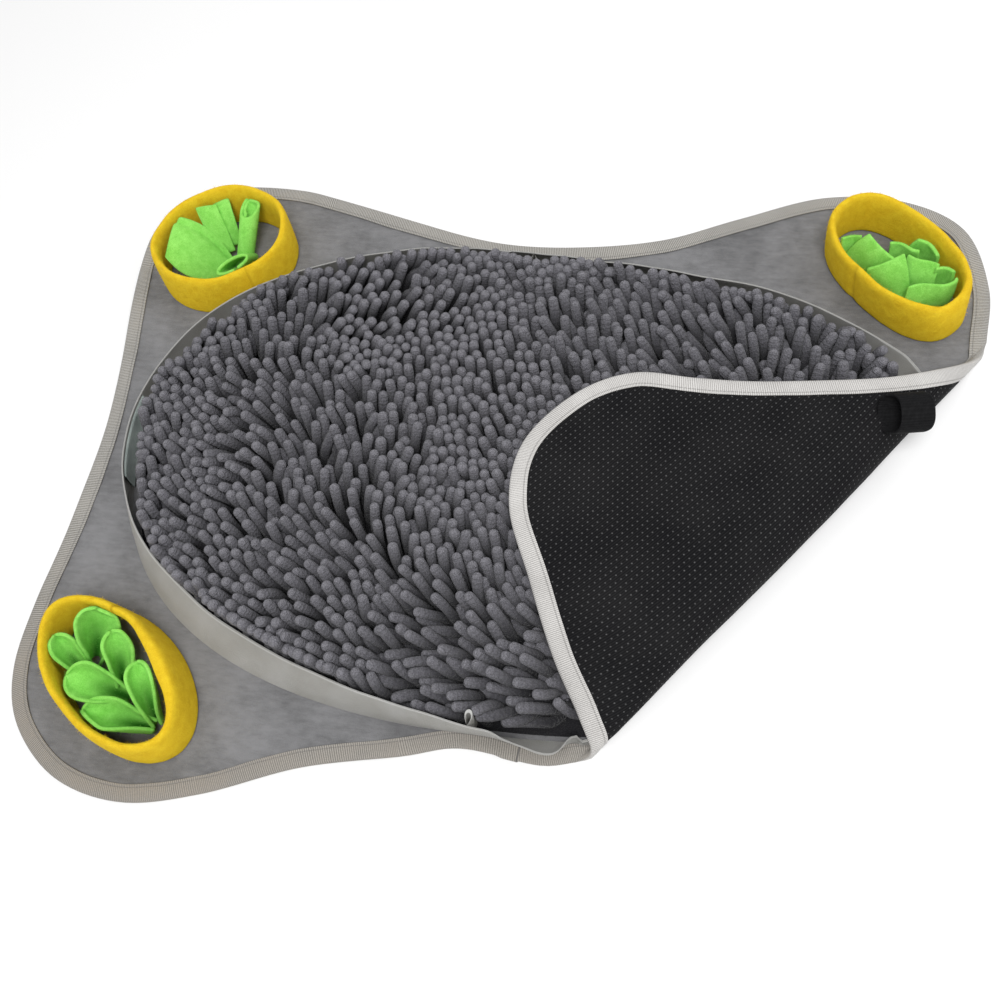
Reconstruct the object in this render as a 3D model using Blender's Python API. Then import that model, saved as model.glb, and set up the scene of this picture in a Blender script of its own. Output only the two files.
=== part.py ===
"""Snuffle mat lying with its right front corner folded over the noodles.

Two cloth sheets of one four-lobed outline are bound with tape. A ribbon stands on edge round
the chenille noodles, and felt collars with leaves are sewn on the corners. Each piece is drawn
flat, as it is cut, and carried round the fold by place(). Sizes are in millimetres, and
metres() turns them into Blender's metres.
"""
import math

import bmesh
import bpy
from mathutils import Vector

# Cloth, tape and the gap left between neighbours
CLOTH = 1.2
TAPE = 0.8
GAP = 0.3
BINDING_WIDTH = 11.5
BINDING_POCKET = 1.1
SHEET_INSET = 2.0
TAPE_EASE = 0.5
SAG_START = 11.8
SAG_END = 13.6
STATION = 22.0

BACKING_LOW = TAPE + GAP
TOP_LOW = BACKING_LOW + CLOTH + GAP
TOP_HIGH = TOP_LOW + CLOTH
BOUND_THICKNESS = TOP_HIGH + GAP + TAPE
SAG = BACKING_LOW

# Middle of the folded mat, seen from above
MIDDLE = Vector((-3.5, 0.6, 0))

# Edge of the flat mat, from the middle of the front edge, anticlockwise
OUTLINE = (
    # x, y
    (-8, -190), (44, -194), (76, -188), (109, -197), (151, -212), (206, -226), (262, -238),
    (309, -227), (342, -190), (353, -148), (342, -104), (329, -49), (319, 15), (320, 75),
    (324, 127), (328, 176), (313, 226), (270, 250), (212, 251), (150, 229), (91, 206),
    (30, 196), (-34, 198), (-103, 214), (-175, 235), (-212, 243), (-262, 244), (-305, 234),
    (-328, 204), (-333, 160), (-324, 74), (-320, 4), (-324, -62), (-333, -125), (-334, -175),
    (-318, -213), (-280, -243), (-230, -252), (-176, -240), (-112, -215), (-47, -200),
)

# Edges that lift a little off the floor
RIPPLES = (
    # x, y, reach along the edge, lift
    (12, -192, 40, 2.6),
    (-60, -203, 45, 1.4),
    (-322, -40, 70, 1.8),
    (-330, 110, 60, 1.4),
    (40, 197, 80, 1.8),
    (-120, 219, 60, 1.2),
)
RIPPLE_DEPTH = 12.0

# Outermost line of the fold, seen from above, and the shape of the layer that lies over
FOLD_START = Vector((78, -184))
FOLD_END = Vector((321, 118))
FOLD_BULGE = 2.0
FOLD_ROWS = (
    # along the fold, height of the roll, height at which the layer lies
    (0, 11, 12),
    (30, 26, 26),
    (70, 42, 37),
    (140, 50, 39),
    (230, 50, 39),
    (300, 44, 38),
    (345, 33, 33),
    (372, 19, 20),
    (388, 11, 12),
)
FOLD_EASE = 90.0
ROLL_STEPS = 8
ROLL_PATTERN = 60.0
LAP_CUTS = (16, 36, 62, 92, 130, 174)
ALONG_CUTS = (3, 10, 17, 25, 38, 58, 88, 122, 156, 190, 226, 262, 290, 314, 334, 348, 357, 365,
              373, 381)

# Ribbon round the noodles
RING_HALF_LENGTH = 286.0
RING_HALF_WIDTH = 180.0
RING_POWER = 2.3
RING_STEPS = 108
RIBBON_HEIGHT = 25.0
RIBBON = 1.0
PRESSED_HEIGHT = 5.0
ROLL_SHARE = 0.45
LEAN_ROWS = (
    # angle, how far the top leans in over the noodles
    (0, -6), (10, -14), (18, -18), (24, -8), (30, -2), (40, 3), (50, 7), (62, 9), (76, 9),
    (90, 7), (104, 4), (115, 2), (130, 1), (147, 0), (165, 0), (177, 0), (184, 2), (190, 8),
    (196, 12), (205, 17), (215, 19), (225, 18), (235, 15), (245, 12), (255, 9), (264, 4),
    (270, 2), (274, 0), (277, -4), (281, -7), (285, -9), (290, -7), (297, -3), (320, 0), (360, -6),
)
PATCH_START = 173.33
PATCH_END = 186.67
PATCH_STEPS = 4
PATCH_LOW = 3.0
PATCH_HIGH = 24.0
PATCH_GAP = 0.9

# Chenille noodles, as one lumpy slab
PILE_SECTORS = 96
PILE_HEIGHT = 31.0
PILE_RIM_HEIGHT = 23.0
PILE_SIDE_HEIGHT = 13.0
PILE_LUMP = 1.7
PILE_CLEAR = 2.2
PILE_RINGS = (0.86, 0.74, 0.62, 0.5, 0.38, 0.26, 0.13)
LOCK_RISE = 6.0
LOCK_LEAN = 1.5
LOCK_TAPER = 0.5

# Felt collars: middle of the doubled wall, at the mat and at the rim
FELT_WALL = 6.0
CUP_HEIGHT = 34.0
CUP_STEPS = 32
CUPS = {
    # foot x, y, half length, half width, rim x, y, half length, half width, turn, power
    "back_left": (-253.6, 167.7, 54, 43, -253.5, 174.2, 53, 43, 19, 2.0),
    "back_right": (262, 178, 55, 29.5, 257, 183, 53, 31.5, -46, 2.4),
    "front_left": (-245.5, -175.5, 62, 38, -247, -171.5, 62, 34, -37.5, 1.95),
}

# Felt leaves, rooted in a small pad on the mat
LEAF_FELT = 3.0
LEAF_ROOT_HEIGHT = 4.4
LEAF_CLEAR = 1.6
PAD_HEIGHT = 5.0
LEAVES = {
    # root x, y, tip x, y, tip height, width, cupping
    "back_left": (
        (-252, 163, -300, 177, 27, 30, 7),
        (-254, 168, -268, 204, 32, 26, 4),
        (-242, 168, -236, 211, 35, 16, 7),
        (-262, 156, -240, 170, 15, 12, 4),
    ),
    "back_right": (
        (252, 190, 227, 206, 15, 14, 4),
        (260, 188, 236, 201, 22, 22, 4),
        (265, 175, 257, 190, 27, 23, 4),
        (270, 182, 280, 196, 24, 18, 5),
        (271, 171, 287, 180, 20, 18, 5),
        (274, 166, 296, 162, 23, 20, 6),
    ),
    "front_left": (
        (-262, -178, -294, -156, 24, 20, 6),
        (-257, -172, -268, -134, 26, 28, 7),
        (-240, -180, -246, -152, 26, 20, 6),
        (-238, -185, -274, -178, 25, 22, 7),
        (-230, -188, -257, -198, 22, 22, 7),
        (-228, -186, -221, -168, 26, 16, 6),
    ),
}
PADS = {
    # x, y, half length, half width, turn
    "back_left": (-252, 163, 16, 11, 0),
    "back_right": (263, 179, 23, 12, -44),
    "front_left": (-245, -181, 26, 12, -20),
}

# Webbing loop at the right-hand end of the fold
LOOP_CENTRE = Vector((257.7, 48.6, 49.75))
LOOP_ALONG = Vector((0.975, 0.20, -0.10))
LOOP_DOWN = Vector((0.20, -0.90, -0.38))
LOOP_WIDTH = 25.0
LOOP_LENGTH = 26.0
LOOP_DEPTH = 14.0
LOOP_WEBBING = 1.6
LOOP_SKEW = 13.0
LOOP_STEPS = 20


def metres(point):
    """From millimetres about the middle of the ribbon to metres about the mat's own middle."""
    return (Vector(point) - MIDDLE) * 0.001


def smooth(value):
    value = min(max(value, 0.0), 1.0)
    return value * value * (3.0 - 2.0 * value)


def lookup(rows, value, column=1):
    """Smooth curve through one column of a table whose first column rises."""
    last = len(rows) - 1
    value = min(max(value, rows[0][0]), rows[last][0])
    row = 0
    while row < last - 1 and value > rows[row + 1][0]:
        row += 1
    low, high = rows[row], rows[row + 1]
    before, after = rows[max(row - 1, 0)], rows[min(row + 2, last)]
    span = high[0] - low[0]
    slope_low = (high[column] - before[column]) / (high[0] - before[0]) * span
    slope_high = (after[column] - low[column]) / (after[0] - low[0]) * span
    t = (value - low[0]) / span
    return ((2 * t**3 - 3 * t**2 + 1) * low[column] + (t**3 - 2 * t**2 + t) * slope_low
            + (3 * t**2 - 2 * t**3) * high[column] + (t**3 - t**2) * slope_high)


def closed_curve(points, spacing):
    """Even stations on a smooth closed curve through the points."""
    stations = []
    count = len(points)
    for index in range(count):
        a, b, c, d = (Vector(points[(index + step) % count]) for step in (-1, 0, 1, 2))
        pieces = max(1, round((c - b).length / spacing))
        for piece in range(pieces):
            t = piece / pieces
            stations.append(0.5 * (2 * b + (c - a) * t + (2 * a - 5 * b + 4 * c - d) * t**2
                                   + (3 * b - a - 3 * c + d) * t**3))
    return stations


EDGE = closed_curve(OUTLINE, STATION)


def inset_edge(distance):
    """The mat's edge, moved in by a distance."""
    moved = []
    for index, point in enumerate(EDGE):
        run = EDGE[(index + 1) % len(EDGE)] - EDGE[index - 1]
        moved.append(point + Vector((-run.y, run.x)).normalized() * distance)
    return moved


def edge_distance(x, y):
    """Distance from the mat's edge, below zero outside it."""
    spot = Vector((x, y))
    nearest = 1e9
    inside = False
    for index, end in enumerate(EDGE):
        start = EDGE[index - 1]
        run = end - start
        t = min(max((spot - start).dot(run) / run.length_squared, 0.0), 1.0)
        nearest = min(nearest, (spot - start - run * t).length)
        if (start.y > y) != (end.y > y) and x < start.x + run.x * (y - start.y) / run.y:
            inside = not inside
    return nearest if inside else -nearest


# ---- the fold ----

FOLD_LENGTH = (FOLD_END - FOLD_START).length
ALONG = (FOLD_END - FOLD_START).normalized()
ACROSS = Vector((ALONG.y, -ALONG.x))


def fold_frame(x, y):
    """Distance along the fold, and past the line where the cloth leaves the floor."""
    offset = Vector((x, y)) - FOLD_START
    along = offset.dot(ALONG)
    return along, offset.dot(ACROSS) - lift_off(along)


def roll_radius(along):
    return lookup(FOLD_ROWS, along, 1) / 2


def lift_off(along):
    """Where the cloth leaves the floor, across from the fold's straight line."""
    share = min(max(along / FOLD_LENGTH, 0.0), 1.0)
    return FOLD_BULGE * math.sin(math.pi * share) - roll_radius(along)


def lap_height(along, inward):
    """Height of the upper face of the folded layer."""
    roll = lookup(FOLD_ROWS, along, 1)
    lying = lookup(FOLD_ROWS, along, 2)
    return lying + (roll - lying) * (1 - smooth(inward / FOLD_EASE))


def ripple(x, y):
    """Lift of the cloth's edge off the floor."""
    depth = edge_distance(x, y)
    if depth > RIPPLE_DEPTH:
        return 0.0
    lift = 0.0
    for ripple_x, ripple_y, reach, height in RIPPLES:
        away = math.hypot(x - ripple_x, y - ripple_y)
        lift += height * smooth(1 - away / reach)
    return lift * smooth(1 - depth / RIPPLE_DEPTH)


def place(x, y, level):
    """Where a point of the flat mat goes once its corner is folded over."""
    along, past = fold_frame(x, y)
    radius = roll_radius(along)
    if past <= 0:
        return Vector((x, y, level + ripple(x, y)))
    if past < math.pi * radius:
        angle = past / radius
        across = lift_off(along) + (radius - level) * math.sin(angle)
        height = radius - (radius - level) * math.cos(angle)
    else:
        inward = past - math.pi * radius
        across = lift_off(along) - inward
        height = lap_height(along, inward) - level
    spot = FOLD_START + ALONG * along + ACROSS * across
    return Vector((spot.x, spot.y, height))


def sag(x, y):
    """How far the sheets sink from the bound edge to the floor."""
    return SAG * smooth((edge_distance(x, y) - SAG_START) / (SAG_END - SAG_START))


def to_pattern(x, y):
    """The pattern plane: every place in the roll lies at an even share of its width."""
    along, past = fold_frame(x, y)
    width = math.pi * roll_radius(along)
    if past <= 0:
        return along, past
    if past < width:
        return along, past / width * ROLL_PATTERN
    return along, ROLL_PATTERN + past - width


def from_pattern(along, past):
    width = math.pi * roll_radius(along)
    if past > ROLL_PATTERN:
        past = past - ROLL_PATTERN + width
    elif past > 0:
        past = past / ROLL_PATTERN * width
    spot = FOLD_START + ALONG * along + ACROSS * (lift_off(along) + past)
    return spot.x, spot.y


def pattern_mesh(insets, has_middle):
    """Rings of the flat outline in the pattern plane, cut where the cloth bends."""
    mesh = bmesh.new()
    rings = []
    for inset in insets:
        ring = [mesh.verts.new((*to_pattern(*point), 0)) for point in inset_edge(inset)]
        rings.append(ring)
    for zone, (outer, inner) in enumerate(zip(rings, rings[1:])):
        for index in range(len(outer)):
            face = mesh.faces.new((outer[index - 1], outer[index], inner[index], inner[index - 1]))
            face.material_index = zone
    if has_middle:
        mesh.faces.new(rings[-1]).material_index = len(insets) - 1
    rolls = [ROLL_PATTERN * step / ROLL_STEPS for step in range(ROLL_STEPS + 1)]
    laps = [ROLL_PATTERN + cut for cut in LAP_CUTS]
    for cut in rolls + laps:
        everything = mesh.verts[:] + mesh.edges[:] + mesh.faces[:]
        bmesh.ops.bisect_plane(mesh, geom=everything, dist=0.2,
                               plane_co=(0, cut, 0), plane_no=(0, 1, 0))
    for cut in ALONG_CUTS:
        faces = [face for face in mesh.faces if face.calc_center_median().y > 0]
        edges = list({edge for face in faces for edge in face.edges})
        verts = list({vert for face in faces for vert in face.verts})
        bmesh.ops.bisect_plane(mesh, geom=verts + edges + faces, dist=0.2,
                               plane_co=(cut, 0, 0), plane_no=(1, 0, 0))
    return mesh


def layered_solid(pattern, levels, filled, point_at):
    """Closed solid over the pattern: filled names the layers that each zone of faces holds."""
    solid = bmesh.new()
    corners = {}

    def corner(vert, layer):
        key = (vert.index, layer)
        if key not in corners:
            corners[key] = solid.verts.new(metres(point_at(vert, levels[layer], layer)))
        return corners[key]

    pattern.verts.index_update()
    for face in pattern.faces:
        layers = filled[face.material_index]
        for layer in range(len(levels)):
            above, below = layer in layers, layer - 1 in layers
            if above and not below:
                solid.faces.new([corner(vert, layer) for vert in reversed(face.verts[:])])
            if below and not above:
                solid.faces.new([corner(vert, layer) for vert in face.verts])
        for loop in face.loops:
            other = loop.link_loop_radial_next.face
            hidden = filled[other.material_index] if other is not face else ()
            start, end = loop.vert, loop.link_loop_next.vert
            for layer in layers:
                if layer not in hidden:
                    solid.faces.new((corner(start, layer), corner(end, layer),
                                     corner(end, layer + 1), corner(start, layer + 1)))
    pattern.free()
    bmesh.ops.triangulate(solid, faces=solid.faces[:])
    return solid


def material(name, color, roughness):
    surface = bpy.data.materials.new(name)
    surface.use_nodes = True
    shader = surface.node_tree.nodes["Principled BSDF"]
    shader.inputs["Base Color"].default_value = (*color, 1)
    shader.inputs["Roughness"].default_value = roughness
    shader.inputs["Metallic"].default_value = 0.0
    surface.diffuse_color = (*color, 1)
    return surface


def add_object(name, mesh, surface, smooth_angle=0.7):
    """Turns a bmesh into a named object with its material."""
    data = bpy.data.meshes.new(name)
    mesh.to_mesh(data)
    mesh.free()
    data.materials.append(surface)
    data.shade_smooth()
    data.set_sharp_from_angle(angle=smooth_angle)
    piece = bpy.data.objects.new(name, data)
    bpy.context.scene.collection.objects.link(piece)
    return piece


def tube(sections, closed):
    """Skin over equal closed sections, in a ring or with its two ends filled.

    The second half of a section is cut on the same diagonals as the first, so that the two
    faces of a wall stay parallel.
    """
    mesh = bmesh.new()
    rings = [[mesh.verts.new(metres(point)) for point in section] for section in sections]
    pairs = list(zip(rings, rings[1:]))
    if closed:
        pairs.append((rings[-1], rings[0]))
    for ring, following in pairs:
        for index in range(len(ring)):
            quad = [ring[index - 1], ring[index], following[index], following[index - 1]]
            if index > len(ring) / 2:
                quad = quad[1:] + quad[:1]
            mesh.faces.new(quad)
    if not closed:
        mesh.faces.new(rings[0])
        mesh.faces.new(rings[-1])
    bmesh.ops.triangulate(mesh, faces=mesh.faces[:], quad_method="FIXED")
    bmesh.ops.recalc_face_normals(mesh, faces=mesh.faces[:])
    return mesh


# ---- sheets and binding ----

def add_sheet(name, low, surface):
    """One cloth sheet, which sinks to the floor inside the binding."""
    def point_at(vert, level, layer):
        x, y = from_pattern(vert.co.x, vert.co.y)
        return place(x, y, level - sag(x, y))

    pattern = pattern_mesh((SHEET_INSET, SAG_START, SAG_END), True)
    filled = {zone: (0,) for zone in range(3)}
    add_object(name, layered_solid(pattern, (low, low + CLOTH), filled, point_at), surface)


def add_binding(surface):
    """Tape folded over the edge: two legs joined by a rounded fold."""
    levels = (0.0, TAPE, BOUND_THICKNESS - TAPE, BOUND_THICKNESS)
    rounding = (TAPE * 0.7, TAPE * 0.7, -TAPE * 0.7, -TAPE * 0.7)

    def point_at(vert, level, layer):
        x, y = from_pattern(vert.co.x, vert.co.y)
        on_edge = vert.is_boundary and all(face.material_index == 0 for face in vert.link_faces)
        if on_edge:
            level += rounding[layer]
        if layer < 2:
            level -= TAPE_EASE * smooth(fold_frame(x, y)[1] / 10)
        return place(x, y, level)

    pattern = pattern_mesh((0.0, BINDING_POCKET, BINDING_WIDTH), False)
    filled = {0: (0, 1, 2), 1: (0, 2)}
    add_object("binding", layered_solid(pattern, levels, filled, point_at), surface)


# ---- ribbon round the noodles ----

def ring_radius(angle):
    c, s = abs(math.cos(angle)), abs(math.sin(angle))
    return ((c / RING_HALF_LENGTH)**RING_POWER + (s / RING_HALF_WIDTH)**RING_POWER)**(-1 / RING_POWER)


def ring_point(angle):
    return Vector((math.cos(angle), math.sin(angle))) * ring_radius(angle)


def ring_normal(angle):
    step = 0.01
    run = ring_point(angle + step) - ring_point(angle - step)
    return Vector((run.y, -run.x)).normalized()


def is_covered(x, y, margin):
    """Whether the folded layer lies over a point of the lower one."""
    along, past = fold_frame(x, y)
    if past > 0:
        return False
    spot = FOLD_START + ALONG * along
    spot += ACROSS * (lift_off(along) + math.pi * roll_radius(along) - past)
    return edge_distance(spot.x, spot.y) > -margin


def headroom(x, y):
    """Height that the ribbon may stand to, above the top cloth."""
    along, past = fold_frame(x, y)
    radius = roll_radius(along)
    in_roll = max(min(ROLL_SHARE * radius, radius - BOUND_THICKNESS - 1.3), 0.8)
    if past > math.pi * radius:
        share = smooth((past - math.pi * radius) / 20)
        return PRESSED_HEIGHT * share + in_roll * (1 - share)
    if past > 0:
        return in_roll
    if is_covered(x, y, 6.0):
        room = lap_height(along, -past) - 2 * BOUND_THICKNESS
        return min(RIBBON_HEIGHT, max(room * 0.8, in_roll))
    return RIBBON_HEIGHT


def ribbon_level(x, y):
    """Where the ribbon's sewn edge stands, a little higher inside the roll."""
    past = fold_frame(x, y)[1]
    in_roll = 0.9 * smooth((past + 4) / 4)
    over_tape = SAG if edge_distance(x, y) < SAG_END + 3 else 0.0
    return TOP_HIGH + GAP - sag(x, y) + max(in_roll, over_tape)


def ribbon_section(angle, low, high, offset, thickness):
    """Four corners of the leaning ribbon at one station, or of what lies along it."""
    base, normal = ring_point(angle), ring_normal(angle)
    level = ribbon_level(base.x, base.y)
    height = headroom(base.x, base.y)
    lean = lookup(LEAN_ROWS, math.degrees(angle) % 360) * height / RIBBON_HEIGHT
    rise = math.sqrt(height**2 - lean**2)
    widening = height / rise
    corners = []
    for up, out in ((low, 0.5), (high, 0.5), (high, -0.5), (low, -0.5)):
        share = up / RIBBON_HEIGHT
        spot = base + normal * ((offset + out * thickness) * widening - lean * share)
        corners.append(place(spot.x, spot.y, level + rise * share))
    return corners


def ring_angles():
    """Even stations, with closer ones where the ribbon goes through the roll."""
    angles = []
    for step in range(RING_STEPS):
        angle = 2 * math.pi * step / RING_STEPS
        point = ring_point(angle)
        along, past = fold_frame(point.x, point.y)
        in_roll = -16 < past < math.pi * roll_radius(along) + 6
        pieces = 4 if in_roll else 1
        for piece in range(pieces):
            angles.append(angle + 2 * math.pi * piece / pieces / RING_STEPS)
    return angles


def add_ring_wall(surface):
    sections = [ribbon_section(angle, 0, RIBBON_HEIGHT, 0, RIBBON) for angle in ring_angles()]
    add_object("ring_wall", tube(sections, True), surface)


def add_wall_patch(surface):
    """Short piece that lies on the ribbon's inner face."""
    offset = -RIBBON - PATCH_GAP
    sections = []
    for step in range(PATCH_STEPS + 1):
        angle = math.radians(PATCH_START + (PATCH_END - PATCH_START) * step / PATCH_STEPS)
        sections.append(ribbon_section(angle, PATCH_LOW, PATCH_HIGH, offset, RIBBON))
    add_object("wall_patch", tube(sections, False), surface)


# ---- noodles ----

def pile_reach(angle, height):
    """Distance from the middle to the side of the pile, inside the ribbon and before the fold."""
    lean = lookup(LEAN_ROWS, math.degrees(angle) % 360)
    share = min(height / RIBBON_HEIGHT, 1.0)
    facing = ring_normal(angle).dot(ring_point(angle).normalized())
    reach = ring_radius(angle) - (max(lean, -4.0) * share + PILE_CLEAR + RIBBON) / facing
    direction = Vector((math.cos(angle), math.sin(angle)))
    low, high = 0.0, reach
    for _ in range(24):
        middle = (low + high) / 2
        spot = direction * middle
        if fold_frame(*spot)[1] < -PILE_CLEAR and edge_distance(*spot) > SAG_END:
            low = middle
        else:
            high = middle
    return low


def pile_top(x, y):
    """Upper surface: lumps and partings, pressed down under the folded layer."""
    waves = math.sin(x / 17 + 1.3 * math.sin(y / 31)) * math.cos(y / 14 - x / 45)
    waves += 0.6 * math.sin((x + y) / 9.5) * math.sin((x - 2 * y) / 23)
    height = PILE_HEIGHT + PILE_LUMP * waves
    if is_covered(x, y, 15.0):
        along, past = fold_frame(x, y)
        beside_roll = 1 - smooth((-past - 55) / 25)
        room = lap_height(along, -past) - BOUND_THICKNESS - 1.5 - PRESSED_HEIGHT * beside_roll
        height = min(height, max(room, TOP_HIGH + 1.5))
    return height


def pile_point(angle, share, height=None):
    limit = PILE_RIM_HEIGHT if height is None else height
    reach = pile_reach(angle, limit) * share
    x, y = math.cos(angle) * reach, math.sin(angle) * reach
    top = pile_top(x, y)
    return Vector((x, y, top if height is None else min(height, top)))


def add_pile(surface):
    """Slab with a rounded shoulder and a lock rising from every free sector of its rim."""
    floor = TOP_HIGH - SAG + GAP
    mesh = bmesh.new()
    angles = [2 * math.pi * step / PILE_SECTORS for step in range(PILE_SECTORS)]
    rings = [
        [pile_point(angle, 1.0, floor) for angle in angles],
        [pile_point(angle, 1.0, PILE_SIDE_HEIGHT) for angle in angles],
        [pile_point(angle, 0.965, PILE_RIM_HEIGHT) for angle in angles],
    ]
    rings += [[pile_point(angle, share) for angle in angles] for share in PILE_RINGS]
    for point in rings[0]:
        point.z = floor
    loops = [[mesh.verts.new(metres(point)) for point in ring] for ring in rings]
    bands = []
    for lower, upper in zip(loops, loops[1:]):
        band = []
        for index in range(PILE_SECTORS):
            band.append(mesh.faces.new((lower[index - 1], lower[index], upper[index],
                                        upper[index - 1])))
        bands.append(band)
    mesh.faces.new(list(reversed(loops[0])))
    middle = mesh.verts.new(metres((0, 0, pile_top(0, 0))))
    for index in range(PILE_SECTORS):
        mesh.faces.new((loops[-1][index - 1], loops[-1][index], middle))
    free = []
    for face in bands[2]:
        centre = face.calc_center_median() * 1000 + MIDDLE
        if not is_covered(centre.x, centre.y, 17.0):
            free.append(face)
    raised = bmesh.ops.extrude_discrete_faces(mesh, faces=free)["faces"]
    for index, face in enumerate(raised):
        centre = face.calc_center_median()
        outward = Vector((centre.x, centre.y, 0)).normalized()
        rise = LOCK_RISE + 1.8 * math.sin(index * 2.4)
        shift = (outward * LOCK_LEAN + Vector((0, 0, rise))) * 0.001
        for vert in face.verts:
            vert.co = centre + (vert.co - centre) * LOCK_TAPER + shift
    add_object("pile", mesh, surface, 0.9)


# ---- felt collars and leaves ----

def oval(x, y, half_length, half_width, turn, power, angle):
    """Point on a rounded oval and its outward direction."""
    c, s = math.cos(angle), math.sin(angle)
    local = Vector((half_length * math.copysign(abs(c)**(2 / power), c),
                    half_width * math.copysign(abs(s)**(2 / power), s)))
    outward = Vector((c / half_length, s / half_width)).normalized()
    spin = math.radians(turn)
    along, side = Vector((math.cos(spin), math.sin(spin))), Vector((-math.sin(spin), math.cos(spin)))
    return (Vector((x, y)) + along * local.x + side * local.y,
            along * outward.x + side * outward.y)


def add_cup(name, row, surface):
    """Collar of doubled felt: upright wall with a rounded rim, open above and below."""
    foot_x, foot_y, foot_long, foot_wide, rim_x, rim_y, rim_long, rim_wide, turn, power = row
    floor = TOP_HIGH - SAG + GAP
    half = FELT_WALL / 2
    profile = (
        # share of the height, distance out from the middle of the wall
        (0, half), (0.5, half + 0.4), (0.9, half), (0.98, half * 0.6),
        (0.98, -half * 0.6), (0.9, -half), (0.5, -half + 0.4), (0, -half),
    )
    sections = []
    for step in range(CUP_STEPS):
        angle = 2 * math.pi * step / CUP_STEPS
        foot, outward = oval(foot_x, foot_y, foot_long, foot_wide, turn, power, angle)
        rim, _ = oval(rim_x, rim_y, rim_long, rim_wide, turn, power, angle)
        section = []
        for share, out in profile:
            spot = foot.lerp(rim, share) + outward * out
            section.append((spot.x, spot.y, floor + CUP_HEIGHT * share))
        sections.append(section)
    add_object("cup_" + name, tube(sections, True), surface)


def inside_cup(row, spot, share, clear):
    """Pulls a point of a leaf in until it clears the collar's wall."""
    foot_x, foot_y, foot_long, foot_wide, rim_x, rim_y, rim_long, rim_wide, turn, power = row
    spin = math.radians(turn)
    along, side = Vector((math.cos(spin), math.sin(spin))), Vector((-math.sin(spin), math.cos(spin)))
    centre = Vector((foot_x, foot_y)).lerp(Vector((rim_x, rim_y)), share)
    half_length = foot_long + (rim_long - foot_long) * share - FELT_WALL / 2 - clear
    half_width = foot_wide + (rim_wide - foot_wide) * share - FELT_WALL / 2 - clear
    offset = spot - centre
    reach = (abs(offset.dot(along) / half_length)**power
             + abs(offset.dot(side) / half_width)**power)**(1 / power)
    return centre + offset / max(reach, 1.0)


def leaf_mesh(row, cup, root_height, clear):
    """A felt leaf: narrow at its root, widest past the middle, cupped and round at its tip."""
    root_x, root_y, tip_x, tip_y, tip_height, width, cupping = row
    floor = TOP_HIGH - SAG + GAP
    root, tip = Vector((root_x, root_y)), Vector((tip_x, tip_y))
    run = tip - root
    side = Vector((-run.y, run.x)).normalized()
    mesh = bmesh.new()
    lengthwise, crosswise = 4, 4
    uppers, lowers = [], []
    for i in range(lengthwise + 1):
        t = i / lengthwise
        half_width = width / 2 * (0.45 + 0.55 * math.sin(math.pi / 2 * min(t / 0.6, 1.0)))
        half_width *= math.sqrt(1 - 0.8 * smooth((t - 0.55) / 0.45))
        rise = root_height + (tip_height - root_height) * math.sin(t * math.pi / 2)
        upper, lower = [], []
        for j in range(crosswise + 1):
            across = 2 * j / crosswise - 1
            height = rise + cupping * across**2 * math.sin(math.pi * min(t + 0.15, 0.85))
            spot = inside_cup(cup, root + run * t + side * half_width * across,
                              height / CUP_HEIGHT, clear)
            upper.append(mesh.verts.new(metres((spot.x, spot.y, floor + height))))
            lower.append(mesh.verts.new(metres((spot.x, spot.y, floor + height - LEAF_FELT))))
        uppers.append(upper)
        lowers.append(lower)
    for i in range(lengthwise):
        for j in range(crosswise):
            mesh.faces.new((uppers[i][j], uppers[i + 1][j], uppers[i + 1][j + 1], uppers[i][j + 1]))
            mesh.faces.new((lowers[i][j], lowers[i][j + 1], lowers[i + 1][j + 1], lowers[i + 1][j]))
        for j in (0, crosswise):
            mesh.faces.new((uppers[i][j], lowers[i][j], lowers[i + 1][j], uppers[i + 1][j]))
    for j in range(crosswise):
        for i in (0, lengthwise):
            mesh.faces.new((uppers[i][j], uppers[i][j + 1], lowers[i][j + 1], lowers[i][j]))
    bmesh.ops.recalc_face_normals(mesh, faces=mesh.faces[:])
    return mesh


def add_leaves(name, surface):
    """The leaves of one collar, joined in the pad that sews them down."""
    pad_x, pad_y, half_length, half_width, turn = PADS[name]
    floor = TOP_HIGH - SAG + GAP
    sections = []
    for share, shrink in ((0, 1.0), (0.6, 0.95), (1, 0.7)):
        ring = []
        for step in range(16):
            spot, _ = oval(pad_x, pad_y, half_length * shrink, half_width * shrink, turn, 2.0,
                           2 * math.pi * step / 16)
            ring.append((spot.x, spot.y, floor + PAD_HEIGHT * share))
        sections.append(ring)
    bundle = add_object("leaves_" + name, tube(sections, False), surface)
    for index, row in enumerate(LEAVES[name]):
        leaf_shape = leaf_mesh(row, CUPS[name], LEAF_ROOT_HEIGHT + 0.23 * index,
                               LEAF_CLEAR + 0.37 * index)
        leaf = add_object("leaf_%s_%d" % (name, index), leaf_shape, surface)
        leaf.hide_render = True
        leaf.display_type = "WIRE"
        union = bundle.modifiers.new("leaf_%d" % index, "BOOLEAN")
        union.operation = "UNION"
        union.solver = "EXACT"
        union.object = leaf


# ---- webbing loop ----

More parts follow.
